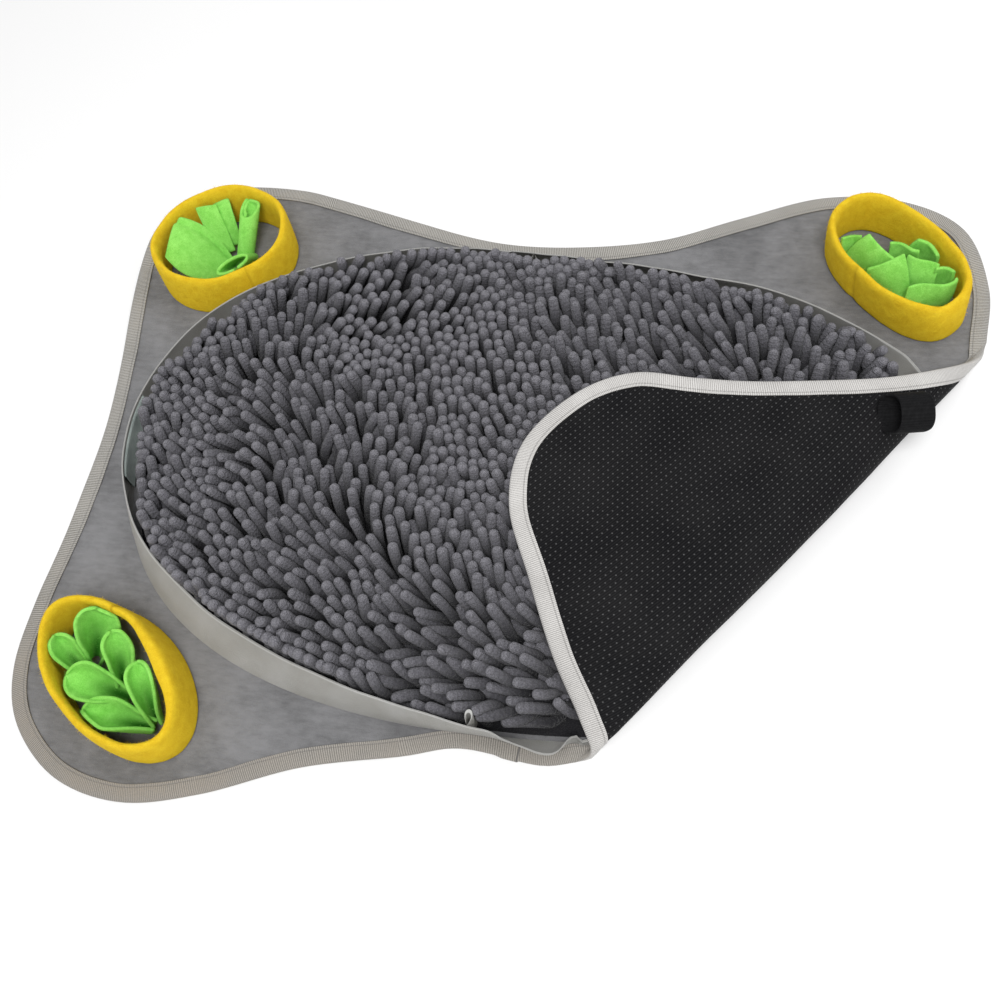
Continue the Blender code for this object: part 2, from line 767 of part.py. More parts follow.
def add_webbing_loop(surface):
    """A strip of webbing bent into a flat loop, open at both sides."""
    along = LOOP_ALONG.normalized()
    face = along.cross(LOOP_DOWN).normalized()
    down = face.cross(along).normalized()
    sections = []
    for step in range(LOOP_STEPS):
        angle = 2 * math.pi * step / LOOP_STEPS
        c, s = math.cos(angle), math.sin(angle)
        shape = Vector((math.copysign(abs(c)**0.8, c), math.copysign(abs(s)**0.8, s)))
        section = []
        for inset, end in ((0, -1), (0, 1), (LOOP_WEBBING, 1), (LOOP_WEBBING, -1)):
            length = (LOOP_LENGTH / 2 - inset) * shape.x
            depth = (LOOP_DEPTH / 2 - inset) * shape.y
            shift = end * LOOP_WIDTH / 2 + LOOP_SKEW * shape.y / 2
            section.append(LOOP_CENTRE + down * length + face * depth + along * shift)
        sections.append(section)
    add_object("webbing_loop", tube(sections, True), surface)


for old in list(bpy.data.objects):
    bpy.data.objects.remove(old)

brushed_grey = material("brushed_grey", (0.13, 0.13, 0.135), 0.95)
knit_black = material("knit_black", (0.013, 0.013, 0.014), 0.8)
grosgrain = material("grosgrain", (0.42, 0.41, 0.39), 0.8)
ribbon_grey = material("ribbon_grey", (0.38, 0.38, 0.36), 0.75)
pale_mint = material("pale_mint", (0.50, 0.56, 0.53), 0.5)
chenille = material("chenille", (0.12, 0.115, 0.125), 0.95)
felt_yellow = material("felt_yellow", (0.78, 0.56, 0.02), 0.95)
felt_green = material("felt_green", (0.12, 0.62, 0.06), 0.95)
webbing_black = material("webbing_black", (0.012, 0.012, 0.013), 0.7)

add_sheet("backing", BACKING_LOW, knit_black)
add_sheet("top_cloth", TOP_LOW, brushed_grey)
add_binding(grosgrain)
add_ring_wall(ribbon_grey)
add_wall_patch(pale_mint)
add_pile(chenille)
for corner_name, corner_row in CUPS.items():
    add_cup(corner_name, corner_row, felt_yellow)
    add_leaves(corner_name, felt_green)
add_webbing_loop(webbing_black)
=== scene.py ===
import math
import random

import bmesh
import bpy
import numpy as np
from mathutils import Matrix, Vector, kdtree, noise


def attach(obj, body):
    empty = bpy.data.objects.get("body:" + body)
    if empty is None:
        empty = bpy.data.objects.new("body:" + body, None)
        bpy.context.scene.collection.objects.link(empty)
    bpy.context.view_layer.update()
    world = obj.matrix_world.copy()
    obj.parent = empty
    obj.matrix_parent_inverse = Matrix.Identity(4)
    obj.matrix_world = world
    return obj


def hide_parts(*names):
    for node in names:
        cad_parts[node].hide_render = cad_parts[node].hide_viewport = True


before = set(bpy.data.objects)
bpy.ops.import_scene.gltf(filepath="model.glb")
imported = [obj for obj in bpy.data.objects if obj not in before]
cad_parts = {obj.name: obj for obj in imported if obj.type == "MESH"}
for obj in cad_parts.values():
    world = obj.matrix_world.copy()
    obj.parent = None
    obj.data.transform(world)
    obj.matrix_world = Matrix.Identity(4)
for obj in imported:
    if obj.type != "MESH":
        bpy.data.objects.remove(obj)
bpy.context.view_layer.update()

# ---- Backing ----
# The underside is a black non-slip knit with small rubber dots, cut to a four-lobed outline.
# It lies flat under the mat, and one corner of it shows where the mat is folded over.

# Lengths are in millimetres in the flat mat's plan, and the patterns of materials in metres.
OUTLINE = (
    # x, y
    (-8, -190), (44, -194), (76, -188), (109, -197), (151, -212), (206, -226), (262, -238),
    (309, -227), (342, -190), (353, -148), (342, -104), (329, -49), (319, 15), (320, 75),
    (324, 127), (328, 176), (313, 226), (270, 250), (212, 251), (150, 229), (91, 206),
    (30, 196), (-34, 198), (-103, 214), (-175, 235), (-212, 243), (-262, 244), (-305, 234),
    (-328, 204), (-333, 160), (-324, 74), (-320, 4), (-324, -62), (-333, -125), (-334, -175),
    (-318, -213), (-280, -243), (-230, -252), (-176, -240), (-112, -215), (-47, -200),
)
MIDDLE = Vector((-3.5, 0.6, 0))
STATION = 5.0
CLOTH = 1.2
SHEET_INSET = 2.0
BACKING_LEVEL = 1.7
SAG = 1.1
SAG_START = 11.8
SAG_END = 13.6
CLOTH_GRID = 7.0
BULGE = 1.6
BULGE_SIZE = 70.0
BULGE_RIM = 25.0
BULGE_START = 60.0
RIPPLES = (
    # x, y, reach along the edge, lift
    (12, -192, 40, 2.6),
    (-60, -203, 45, 1.4),
    (-322, -40, 70, 1.8),
    (-330, 110, 60, 1.4),
    (40, 197, 80, 1.8),
    (-120, 219, 60, 1.2),
)
RIPPLE_DEPTH = 12.0

FOLD_START = Vector((78, -184))
FOLD_END = Vector((321, 118))
FOLD_BULGE = 2.0
FOLD_ROWS = (
    # along the fold, height of the roll, height at which the layer lies
    (0, 11, 12),
    (30, 26, 26),
    (70, 42, 37),
    (140, 50, 39),
    (230, 50, 39),
    (300, 44, 38),
    (345, 33, 33),
    (372, 19, 20),
    (388, 11, 12),
)
FOLD_EASE = 90.0
ROLL_PATTERN = 60.0
FOLD_LENGTH = (FOLD_END - FOLD_START).length
ALONG = (FOLD_END - FOLD_START).normalized()
ACROSS = Vector((ALONG.y, -ALONG.x))

DOT_ROWS = (0.0054, 0.0062)
DOT_TURN = math.radians(6)
DOT_SIZE = 0.0017
KNIT_PITCH = 0.0016
BLACK = (0.0055, 0.0055, 0.0065, 1)
BLACK_WORN = (0.0160, 0.0157, 0.0162, 1)
DOT_GREY = (0.13, 0.13, 0.132, 1)


def metres(point):
    """A point of the plan, in metres from the middle of the folded mat."""
    return (Vector(point) - MIDDLE) * 0.001


def smooth(value):
    """0 up to 0, 1 from 1 on, and smooth between them."""
    value = min(max(value, 0.0), 1.0)
    return value * value * (3.0 - 2.0 * value)


def lookup(rows, value, column=1):
    """Smooth curve through one column of a table whose first column rises."""
    last = len(rows) - 1
    value = min(max(value, rows[0][0]), rows[last][0])
    row = 0
    while row < last - 1 and value > rows[row + 1][0]:
        row += 1
    low, high = rows[row], rows[row + 1]
    before, after = rows[max(row - 1, 0)], rows[min(row + 2, last)]
    span = high[0] - low[0]
    slope_low = (high[column] - before[column]) / (high[0] - before[0]) * span
    slope_high = (after[column] - low[column]) / (after[0] - low[0]) * span
    t = (value - low[0]) / span
    return ((2 * t**3 - 3 * t**2 + 1) * low[column] + (t**3 - 2 * t**2 + t) * slope_low
            + (3 * t**2 - 2 * t**3) * high[column] + (t**3 - t**2) * slope_high)


def closed_curve(points, spacing):
    """Even stations on a smooth closed curve through the points."""
    stations = []
    count = len(points)
    for index in range(count):
        a, b, c, d = (Vector(points[(index + step) % count]) for step in (-1, 0, 1, 2))
        pieces = max(1, round((c - b).length / spacing))
        for piece in range(pieces):
            t = piece / pieces
            stations.append(0.5 * (2 * b + (c - a) * t + (2 * a - 5 * b + 4 * c - d) * t**2
                                   + (3 * b - a - 3 * c + d) * t**3))
    return stations


EDGE = closed_curve(OUTLINE, STATION)
EDGE_ENDS = np.array([point[:] for point in EDGE])
EDGE_STARTS = np.roll(EDGE_ENDS, 1, axis=0)
EDGE_RUNS = EDGE_ENDS - EDGE_STARTS
EDGE_SQUARES = (EDGE_RUNS**2).sum(axis=1)


def edge_distance(x, y):
    """Distance from the mat's edge, below zero outside it."""
    offset = np.array((x, y)) - EDGE_STARTS
    share = np.clip((offset * EDGE_RUNS).sum(axis=1) / EDGE_SQUARES, 0, 1)
    nearest = np.sqrt(((offset - EDGE_RUNS * share[:, None])**2).sum(axis=1).min())
    crosses = (EDGE_STARTS[:, 1] > y) != (EDGE_ENDS[:, 1] > y)
    starts, runs = EDGE_STARTS[crosses], EDGE_RUNS[crosses]
    right = x < starts[:, 0] + runs[:, 0] * (y - starts[:, 1]) / runs[:, 1]
    return float(nearest) if right.sum() % 2 else -float(nearest)


def inset_edge(distance):
    """The mat's edge, moved in by a distance."""
    moved = []
    for index, point in enumerate(EDGE):
        run = EDGE[(index + 1) % len(EDGE)] - EDGE[index - 1]
        moved.append(point + Vector((-run.y, run.x)).normalized() * distance)
    return moved


def fold_frame(x, y):
    """Distance along the fold, and past the line where the cloth leaves the floor."""
    offset = Vector((x, y)) - FOLD_START
    along = offset.dot(ALONG)
    return along, offset.dot(ACROSS) - lift_off(along)


def roll_radius(along):
    return lookup(FOLD_ROWS, along, 1) / 2


def lift_off(along):
    """Where the cloth leaves the floor, across from the fold's straight line."""
    share = min(max(along / FOLD_LENGTH, 0.0), 1.0)
    return FOLD_BULGE * math.sin(math.pi * share) - roll_radius(along)


def lap_height(along, inward):
    """Height of the upper face of the folded layer."""
    roll = lookup(FOLD_ROWS, along, 1)
    lying = lookup(FOLD_ROWS, along, 2)
    return lying + (roll - lying) * (1 - smooth(inward / FOLD_EASE))


def ripple(x, y):
    """Lift of the cloth's edge off the floor."""
    depth = edge_distance(x, y)
    if depth > RIPPLE_DEPTH:
        return 0.0
    lift = 0.0
    for ripple_x, ripple_y, reach, height in RIPPLES:
        away = math.hypot(x - ripple_x, y - ripple_y)
        lift += height * smooth(1 - away / reach)
    return lift * smooth(1 - depth / RIPPLE_DEPTH)


def place(x, y, level):
    """Where a point of the flat mat goes once its corner is folded over."""
    along, past = fold_frame(x, y)
    radius = roll_radius(along)
    if past <= 0:
        return Vector((x, y, level + ripple(x, y)))
    if past < math.pi * radius:
        angle = past / radius
        across = lift_off(along) + (radius - level) * math.sin(angle)
        height = radius - (radius - level) * math.cos(angle)
    else:
        inward = past - math.pi * radius
        across = lift_off(along) - inward
        height = lap_height(along, inward) - level
    spot = FOLD_START + ALONG * along + ACROSS * across
    return Vector((spot.x, spot.y, height))


def sag(x, y):
    """How far the sheets sink from the bound edge to the floor."""
    return SAG * smooth((edge_distance(x, y) - SAG_START) / (SAG_END - SAG_START))


def bulge(x, y):
    """Soft unevenness of the cloth away from its edge; only the folded corner lifts freely."""
    depth = smooth((edge_distance(x, y) - SAG_END) / BULGE_RIM)
    wave = noise.noise(Vector((x / BULGE_SIZE, y / BULGE_SIZE, 0.3)))
    wave += 0.45 * noise.noise(Vector((x / BULGE_SIZE * 2.3, y / BULGE_SIZE * 2.3, 4.1)))
    free = smooth(fold_frame(x, y)[1] / BULGE_START)
    return -depth * free * BULGE * wave


def to_pattern(x, y):
    """The pattern plane: every place in the roll lies at an even share of its width."""
    along, past = fold_frame(x, y)
    width = math.pi * roll_radius(along)
    if past <= 0:
        return along, past
    if past < width:
        return along, past / width * ROLL_PATTERN
    return along, ROLL_PATTERN + past - width


def from_pattern(along, past):
    """The place in the flat plan of a point of the pattern plane."""
    width = math.pi * roll_radius(along)
    if past > ROLL_PATTERN:
        past = past - ROLL_PATTERN + width
    elif past > 0:
        past = past / ROLL_PATTERN * width
    spot = FOLD_START + ALONG * along + ACROSS * (lift_off(along) + past)
    return spot.x, spot.y


def new_object(name, mesh, surface, smooth_angle=0.8):
    """Turns a bmesh into a named object with its material."""
    data = bpy.data.meshes.new(name)
    mesh.to_mesh(data)
    mesh.free()
    data.materials.append(surface)
    data.shade_smooth()
    data.set_sharp_from_angle(angle=smooth_angle)
    piece = bpy.data.objects.new(name, data)
    bpy.context.scene.collection.objects.link(piece)
    return piece


def thicken(piece, thickness):
    """Gives a single layer its thickness, half of it on each side."""
    wall = piece.modifiers.new("thickness", "SOLIDIFY")
    wall.thickness = thickness * 0.001
    wall.offset = 0.0
    wall.use_even_offset = False


def add_cloth(name, level, surface):
    """A sheet cut on the outline, carried round the fold; its UV is the flat plan in metres."""
    mesh = bmesh.new()
    corners = [mesh.verts.new((*to_pattern(*point), 0)) for point in inset_edge(SHEET_INSET)]
    mesh.faces.new(corners)
    spans = [[corner.co[axis] for corner in corners] for axis in (0, 1)]
    for axis, span in enumerate(spans):
        normal = Vector((1 - axis, axis, 0))
        cut = min(span) + CLOTH_GRID / 2
        while cut < max(span):
            everything = mesh.verts[:] + mesh.edges[:] + mesh.faces[:]
            bmesh.ops.bisect_plane(mesh, geom=everything, dist=0.2,
                                   plane_co=normal * cut, plane_no=normal)
            cut += CLOTH_GRID
    plan = mesh.loops.layers.uv.new("plan")
    for vert in mesh.verts:
        x, y = from_pattern(vert.co.x, vert.co.y)
        for loop in vert.link_loops:
            loop[plan].uv = (x * 0.001, y * 0.001)
        vert.co = metres(place(x, y, level - sag(x, y) + bulge(x, y)))
    piece = new_object(name, mesh, surface, 3.2)
    thicken(piece, CLOTH)
    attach(piece, "root")
    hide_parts(name)
    return piece


class Wire:
    """A number that varies over a surface; arithmetic on it adds Math nodes."""

    def __init__(self, finish, socket):
        self.finish = finish
        self.socket = socket

    def math(self, operation, *others):
        inputs = dict(enumerate((self, *others)))
        return self.finish.add("Math", {"operation": operation}, inputs)

    def __add__(self, other):
        return self.math("ADD", other)

    def __radd__(self, other):
        return self.math("ADD", other)

    def __sub__(self, other):
        return self.math("SUBTRACT", other)

    def __rsub__(self, other):
        return self.finish.add("Math", {"operation": "SUBTRACT"}, {0: other, 1: self})

    def __mul__(self, other):
        return self.math("MULTIPLY", other)

    def __rmul__(self, other):
        return self.math("MULTIPLY", other)

    def __truediv__(self, other):
        return self.math("DIVIDE", other)

    def fraction(self):
        return self.math("FRACT")

    def sine(self):
        return self.math("SINE")

    def ribs(self, pitch):
        """A smooth wave from 0 to 1 that repeats at the pitch."""
        return (self * (2 * math.pi / pitch)).sine() * 0.5 + 0.5

    def larger(self, other):
        return self.math("MAXIMUM", other)

    def clipped(self):
        return self.math("MAXIMUM", 0.0).math("MINIMUM", 1.0)

    def between(self, low, high):
        """0 below low, 1 above high, and smooth from one to the other."""
        settings = {"interpolation_type": "SMOOTHSTEP"}
        return self.finish.add("MapRange", settings, {"Value": self, 1: low, 2: high})

    def beyond(self, line, low, high):
        """0 within low of a line, and 1 farther than high from it."""
        return (self - line).math("ABSOLUTE").between(low, high)


class Finish:
    """A material being made: one shader whose sockets take values, colours and Wires."""

    def __init__(self, name, roughness, **constants):
        self.material = bpy.data.materials.new(name)
        self.material.use_nodes = True
        self.tree = self.material.node_tree
        self.shader = self.tree.nodes["Principled BSDF"]
        self.shader.inputs["Roughness"].default_value = roughness
        for socket, value in constants.items():
            self.shader.inputs[socket.replace("_", " ")].default_value = value

    def connect(self, socket, value):
        if isinstance(value, Wire):
            self.tree.links.new(value.socket, socket)
        else:
            socket.default_value = value

    def add(self, kind, settings, inputs, output=0):
        """One node: its type, its settings, and the values or links of its sockets."""
        node = self.tree.nodes.new("ShaderNode" + kind)
        for setting, value in settings.items():
            setattr(node, setting, value)
        for name, value in inputs.items():
            self.connect(node.inputs[name], value)
        return Wire(self, node.outputs[output])

    def plan(self):
        """The piece's own UV: as a vector, its x and its y."""
        vector = self.add("TexCoord", {}, {}, "UV")
        return vector, self.part_of(vector, 0), self.part_of(vector, 1)

    def space(self):
        """The place in the model, in metres."""
        return self.add("TexCoord", {}, {}, "Object")

    def part_of(self, vector, axis):
        return self.add("SeparateXYZ", {}, {0: vector}, axis)

    def scaled(self, vector, scale):
        return self.add("VectorMath", {"operation": "MULTIPLY"}, {0: vector, 1: scale})

    def mottle(self, vector, scale, detail=3.0, roughness=0.6):
        inputs = {"Vector": vector, "Scale": scale, "Detail": detail, "Roughness": roughness}
        return self.add("TexNoise", {}, inputs)

    def blend(self, mask, low, high):
        """The colour low where the mask is 0, and high where it is 1."""
        settings = {"data_type": "RGBA", "clamp_factor": True}
        return self.add("Mix", settings, {0: mask, 6: low, 7: high}, 2)

    def tone(self, color):
        self.connect(self.shader.inputs["Base Color"], color)

    def relief(self, height, depth):
        """Bump of the given depth in metres."""
        bump = self.add("Bump", {}, {"Strength": 1.0, "Distance": depth, "Height": height})
        self.connect(self.shader.inputs["Normal"], bump)


def black_knit():
    finish = Finish("knit_black", 0.75, Specular_IOR_Level=0.06)
    vector, x, y = finish.plan()
    turned_x = x * math.cos(DOT_TURN) + y * math.sin(DOT_TURN)
    turned_y = y * math.cos(DOT_TURN) - x * math.sin(DOT_TURN)
    dots = None
    for shift in (0.0, 0.5):
        across = ((turned_x / DOT_ROWS[0] + shift).fraction() - 0.5) * DOT_ROWS[0]
        up = ((turned_y / DOT_ROWS[1] + shift).fraction() - 0.5) * DOT_ROWS[1]
        away = (across * across + up * up).math("SQRT")
        dot = 1 - away.between(DOT_SIZE * 0.12, DOT_SIZE * 0.48)
        dots = dot if dots is None else dots.larger(dot)
    knit = (x * 0.81 - y * 0.585).ribs(KNIT_PITCH)
    uneven = finish.mottle(vector, 420.0, 2.0)
    cloudy = finish.mottle(vector, 20.0)
    shade = (knit * uneven * 0.8 + cloudy * 0.8).between(0.25, 1.05)
    worn = finish.blend(shade, BLACK, BLACK_WORN)
    finish.tone(finish.blend(dots * (uneven * 1.1 + 0.1), worn, DOT_GREY))
    creases = finish.mottle(vector, 13.0, 1.0)
    finish.relief(dots * 1.0 + knit * 0.35 + uneven * 0.3 + creases * 30.0, 0.0004)
    return finish.material


backing = add_cloth("backing", BACKING_LEVEL, black_knit())

# ---- Top cloth ----
# The upper side is a grey cloth with a short brushed nap, cut to the same outline and folded
# with the backing. Noodles and collars are sewn through it.

TOP_LEVEL = 3.2
NAP_DARK = (0.082, 0.082, 0.085, 1)
NAP_PALE = (0.215, 0.215, 0.222, 1)


def brushed_nap():
    finish = Finish("brushed_grey", 0.95, Sheen_Weight=0.25, Sheen_Roughness=0.6)
    vector = finish.plan()[0]
    patches = finish.mottle(vector, 16.0, 4.0, 0.65)
    streaks = finish.mottle(finish.scaled(vector, (90.0, 260.0, 1.0)), 1.0, 4.0, 0.7)
    fibres = finish.mottle(vector, 1800.0, 2.0, 0.7)
    shade = (patches * 1.0 + streaks * 0.6 + fibres * 0.5).between(0.65, 1.35)
    finish.tone(finish.blend(shade, NAP_DARK, NAP_PALE))
    finish.relief(fibres + streaks * 0.7, 0.0005)
    return finish.material


top_cloth = add_cloth("top_cloth", TOP_LEVEL, brushed_nap())

# ---- Binding ----
# A woven ribbed tape is folded over the edge of both cloths and sewn through, 11.5 mm of it
# on each side. Its two ends lap at the front, near the fold.

BOUND_THICKNESS = 4.9
TAPE_PROFILE = (
    # inset from the edge, level
    (11.5, 0.05), (8.5, 0.0), (4.5, 0.0), (1.4, 0.1), (0.3, 0.9), (0.0, 2.45), (0.3, 4.0),
    (1.4, 4.8), (4.5, 4.95), (8.5, 4.9), (9.6, 4.75), (10.6, 4.9), (11.6, 4.8), (11.7, 4.4),
    (11.5, 4.1), (4.5, 4.1), (1.3, 3.4), (1.3, 1.5), (4.5, 0.8), (11.5, 0.8),
)
RIB_PITCH = 0.00135
STITCH_RUNS = (0.0021, 0.0242)
STITCH_PITCH = 0.0026
LAP_JOINT = (28, -194)
LAP_REACH = 14.0
LAP_LIFT = 0.9
TAPE_SHADE = (0.155, 0.145, 0.13, 1)
TAPE_PALE = (0.46, 0.45, 0.425, 1)
# Colour of random dust and of the painted shade toward the front.
TAPE_DUST_AND_SHADE = (0.31, 0.275, 0.235, 1)
# The underside's two colours are a painted highlight, dark and pale.
TAPE_LIT_UNDERSIDE_DARK = (0.30, 0.29, 0.28, 1)
TAPE_LIT_UNDERSIDE = (0.66, 0.645, 0.625, 1)
STITCH_GREY = (0.15, 0.145, 0.14, 1)


def shaped_grid(columns, rows, point_at, uv_at=None):
    """A grid carried to point_at(along, across), both from 0 to 1, with meeting edges welded."""
    mesh = bmesh.new()
    bmesh.ops.create_grid(mesh, x_segments=columns, y_segments=rows, size=1.0)
    plan = mesh.loops.layers.uv.new("plan")
    for vert in mesh.verts:
        along, across = (vert.co.x + 1) / 2, (vert.co.y + 1) / 2
        spot = (along, across) if uv_at is None else uv_at(along, across)
        for loop in vert.link_loops:
            loop[plan].uv = spot
        vert.co = metres(point_at(along, across))
    bmesh.ops.remove_doubles(mesh, verts=mesh.verts[:], dist=0.00001)
    bmesh.ops.recalc_face_normals(mesh, faces=mesh.faces[:])
    return mesh


def profile_row(profile, share):
    """The row of a closed profile that a share of the way round it falls on."""
    return profile[round(share * len(profile)) % len(profile)]


def run_round(points, share):
    """Where a share of the way round a closed line of points falls."""
    count = len(points)
    position = share * count
    index = min(int(position), count - 1)
    return points[index].lerp(points[(index + 1) % count], position - index)


def ribbed_tape(joint):
    """Ribs, two rows of stitches and one joint; random dust, painted shade toward the front, and a
    painted highlight on the underside.
    """
    finish = Finish("grosgrain", 0.75, Sheen_Weight=0.1, Sheen_Roughness=0.4,
                    Specular_IOR_Level=0.2)
    vector, x, y = finish.plan()
    ribs = (x + y * 0.14).ribs(RIB_PITCH)
    threads = finish.mottle(finish.scaled(vector, (900.0, 1500.0, 1.0)), 1.0, 2.0)
    worn = finish.mottle(vector, 30.0, 3.0)
    # Painted shade: the tape darkens toward the front of the mat, at low y.
    front = 1 - finish.part_of(finish.space(), 1).between(-0.25, -0.02)
    shade = (ribs * 0.45 + threads * 0.6 + worn * 0.4).between(0.35, 1.05)
    # Painted highlight: the tape's underside, face up on the folded corner, is paler.
    under = 1 - y.between(0.011, 0.014)
    # Random dust from the mottle, plus the painted front shade.
    dust_and_shade = (front * 0.6 + worn * 0.9 - 0.35).clipped()
    pale = finish.blend(dust_and_shade, TAPE_PALE, TAPE_DUST_AND_SHADE)
    upper_dust_and_shade = finish.blend(shade, TAPE_SHADE, pale)
    lit_underside = finish.blend(shade, TAPE_LIT_UNDERSIDE_DARK, TAPE_LIT_UNDERSIDE)
    stitches = None
    for run in STITCH_RUNS:
        line = 1 - y.beyond(run, 0.0002, 0.0005)
        stitches = line if stitches is None else stitches.larger(line)
    dashes = (x / STITCH_PITCH).fraction().between(0.1, 0.3)
    seam = 1 - x.beyond(joint, 0.0002, 0.0007)
    marks = (stitches * (dashes * 0.35 + 0.1)).larger(seam * (1 - under))
    finish.tone(finish.blend(marks, finish.blend(under, upper_dust_and_shade, lit_underside), STITCH_GREY))
    finish.relief(ribs * 0.6 + threads * 0.5 - marks * 1.5, 0.0003)
    return finish.material


def add_binding():
    perimeter = sum((EDGE[index] - EDGE[index - 1]).length for index in range(len(EDGE)))
    inward = [(inner - outer).normalized() for inner, outer in zip(inset_edge(1.0), EDGE)]
    runs = [0.0]
    for start, end in zip(TAPE_PROFILE, TAPE_PROFILE[1:] + TAPE_PROFILE[:1]):
        runs.append(runs[-1] + math.hypot(end[0] - start[0], end[1] - start[1]))
    joint = min(range(len(EDGE)), key=lambda index: (EDGE[index] - Vector(LAP_JOINT)).length)
    joint_run = joint / len(EDGE) * perimeter

    def point_at(along, across):
        spot = run_round(EDGE, along)
        side = run_round(inward, along).normalized()
        inset, level = profile_row(TAPE_PROFILE, across)
        waver = 0.35 * noise.noise(Vector((along * 90, 0, 0))) if inset > 8 else 0.0
        before_joint = joint_run - along * perimeter
        if 0 <= before_joint < LAP_REACH and level > 0.9:
            lap = LAP_LIFT * smooth((LAP_REACH - before_joint) / 6)
            level += lap
            inset -= lap if inset < 2 else 0.0
        flat = spot + side * (inset + waver)
        return place(flat.x, flat.y, level)

    def uv_at(along, across):
        run = runs[round(across * len(TAPE_PROFILE))]
        return along * perimeter * 0.001, run * 0.001

    mesh = shaped_grid(len(EDGE) * 4, len(TAPE_PROFILE), point_at, uv_at)
    piece = new_object("binding", mesh, ribbed_tape(joint_run * 0.001), 0.9)
    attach(piece, "root")
    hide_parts("binding")
    return piece


binding = add_binding()

# ---- Ribbon round the noodles ----
# A grey twill ribbon 25 mm wide is sewn down along one edge and stands up as a low wall round
# the noodles. It leans and waves a little, and is pinched into a small loop at two places.

RING_HALF_LENGTH = 286.0
RING_HALF_WIDTH = 180.0
RING_POWER = 2.3
RIBBON_HEIGHT = 25.0
RIBBON_LENGTH = 1500.0
RIBBON = 1.0
RIBBON_ROUNDING = 0.25
PRESSED_HEIGHT = 5.0
ROLL_SHARE = 0.45
TOP_HIGH = 3.8
GAP = 0.3
LEAN_ROWS = (
    # angle, how far the top leans in over the noodles
    (0, -6), (10, -14), (18, -18), (24, -8), (30, -2), (40, 3), (50, 7), (62, 9), (76, 9),
    (90, 7), (104, 4), (115, 2), (130, 1), (147, 0), (165, 0), (177, 0), (184, 2), (190, 8),
    (196, 12), (205, 17), (215, 19), (225, 18), (235, 15), (245, 12), (255, 9), (264, 4),
    (270, 2), (274, 0), (277, -4), (281, -7), (285, -9), (287.5, -6), (289.5, 4), (292, 20),
    (297, 8), (320, 0), (360, -6),
)
RIBBON_STATIONS = 720
RIBBON_ROWS = 28
TWILL_PITCH = 0.0009
RIBBON_SHADE = (0.24, 0.23, 0.20, 1)
RIBBON_PALE = (0.39, 0.385, 0.37, 1)
RIBBON_EDGE = (0.48, 0.48, 0.465, 1)
PINCHES = (90.5, 269.6)
PINCH_WIDTH = 4.2
PINCH_LENGTH = 9.0
PINCH_RUN = 0.02
COVER_STEPS = 10


def ring_radius(angle):
    """Distance from the ring's middle to the ribbon's foot."""
    c, s = abs(math.cos(angle)), abs(math.sin(angle))
    return ((c / RING_HALF_LENGTH)**RING_POWER + (s / RING_HALF_WIDTH)**RING_POWER)**(-1 / RING_POWER)


def ring_point(angle):
    return Vector((math.cos(angle), math.sin(angle))) * ring_radius(angle)


def ring_normal(angle):
    """Direction straight out of the ring."""
    step = 0.01
    run = ring_point(angle + step) - ring_point(angle - step)
    return Vector((run.y, -run.x)).normalized()


def ribbon_lean(angle):
    """How far the ribbon's top leans in, where it stands at its full height."""
    return lookup(LEAN_ROWS, math.degrees(angle) % 360)


def is_covered(x, y, margin):
    """Whether the folded layer lies over a point of the lower one."""
    along, past = fold_frame(x, y)
    if past > 0:
        return False
    spot = FOLD_START + ALONG * along
    spot += ACROSS * (lift_off(along) + math.pi * roll_radius(along) - past)
    return edge_distance(spot.x, spot.y) > -margin


def headroom(x, y):
    """Height that the ribbon may stand to, above the top cloth."""
    along, past = fold_frame(x, y)
    radius = roll_radius(along)
    in_roll = max(min(ROLL_SHARE * radius, radius - BOUND_THICKNESS - 1.3), 0.8)
    if past > math.pi * radius:
        share = smooth((past - math.pi * radius) / 20)
        return PRESSED_HEIGHT * share + in_roll * (1 - share)
    if past > 0:
        return in_roll
    cover = sum(is_covered(x, y, 4.0 + step) for step in range(COVER_STEPS)) / COVER_STEPS
    room = lap_height(along, -past) - 2 * BOUND_THICKNESS
    pressed = min(RIBBON_HEIGHT, max(room * 0.8, in_roll))
    return RIBBON_HEIGHT * (1 - cover) + pressed * cover


def ribbon_level(x, y):
    """Where the ribbon's sewn edge stands, a little higher inside the roll."""
    past = fold_frame(x, y)[1]
    in_roll = 0.9 * smooth((past + 4) / 4)
    over_tape = SAG if edge_distance(x, y) < SAG_END + 3 else 0.0
    return TOP_HIGH + GAP - sag(x, y) + max(in_roll, over_tape)


def ribbon_spot(angle, up, out):
    """A point of the leaning ribbon: up its width, and out from its middle layer."""
    base, normal = ring_point(angle), ring_normal(angle)
    level = ribbon_level(base.x, base.y)
    height = headroom(base.x, base.y)
    share = up / RIBBON_HEIGHT
    lean = ribbon_lean(angle) * height / RIBBON_HEIGHT
    rise = math.sqrt(height**2 - lean**2)
    wave = noise.noise(Vector((math.cos(angle) * 6, math.sin(angle) * 6, 1.7)))
    wave *= 1.8 * share**1.5 * height / RIBBON_HEIGHT
    bow = 1.2 * math.sin(math.pi * share)
    spot = base + normal * (out * height / rise - lean * share + wave + bow)
    return place(spot.x, spot.y, level + rise * share)


def twill():
    finish = Finish("ribbon_grey", 0.6, Sheen_Weight=0.2, Sheen_Roughness=0.35)
    vector, x, y = finish.plan()
    diagonal = (x + y * 1.6).ribs(TWILL_PITCH)
    threads = finish.mottle(vector, 1500.0, 2.0)
    worn = finish.mottle(vector, 30.0, 3.0)
    shade = (diagonal * 0.25 + threads * 0.3 + worn * 0.8).between(0.3, 1.05)
    tint = finish.blend(shade, RIBBON_SHADE, RIBBON_PALE)
    below_edge = y.beyond(RIBBON_HEIGHT * 0.001, 0.0002, 0.0008)
    finish.tone(finish.blend(below_edge, RIBBON_EDGE, tint))
    finish.relief(diagonal + threads * 0.5, 0.0002)
    return finish.material


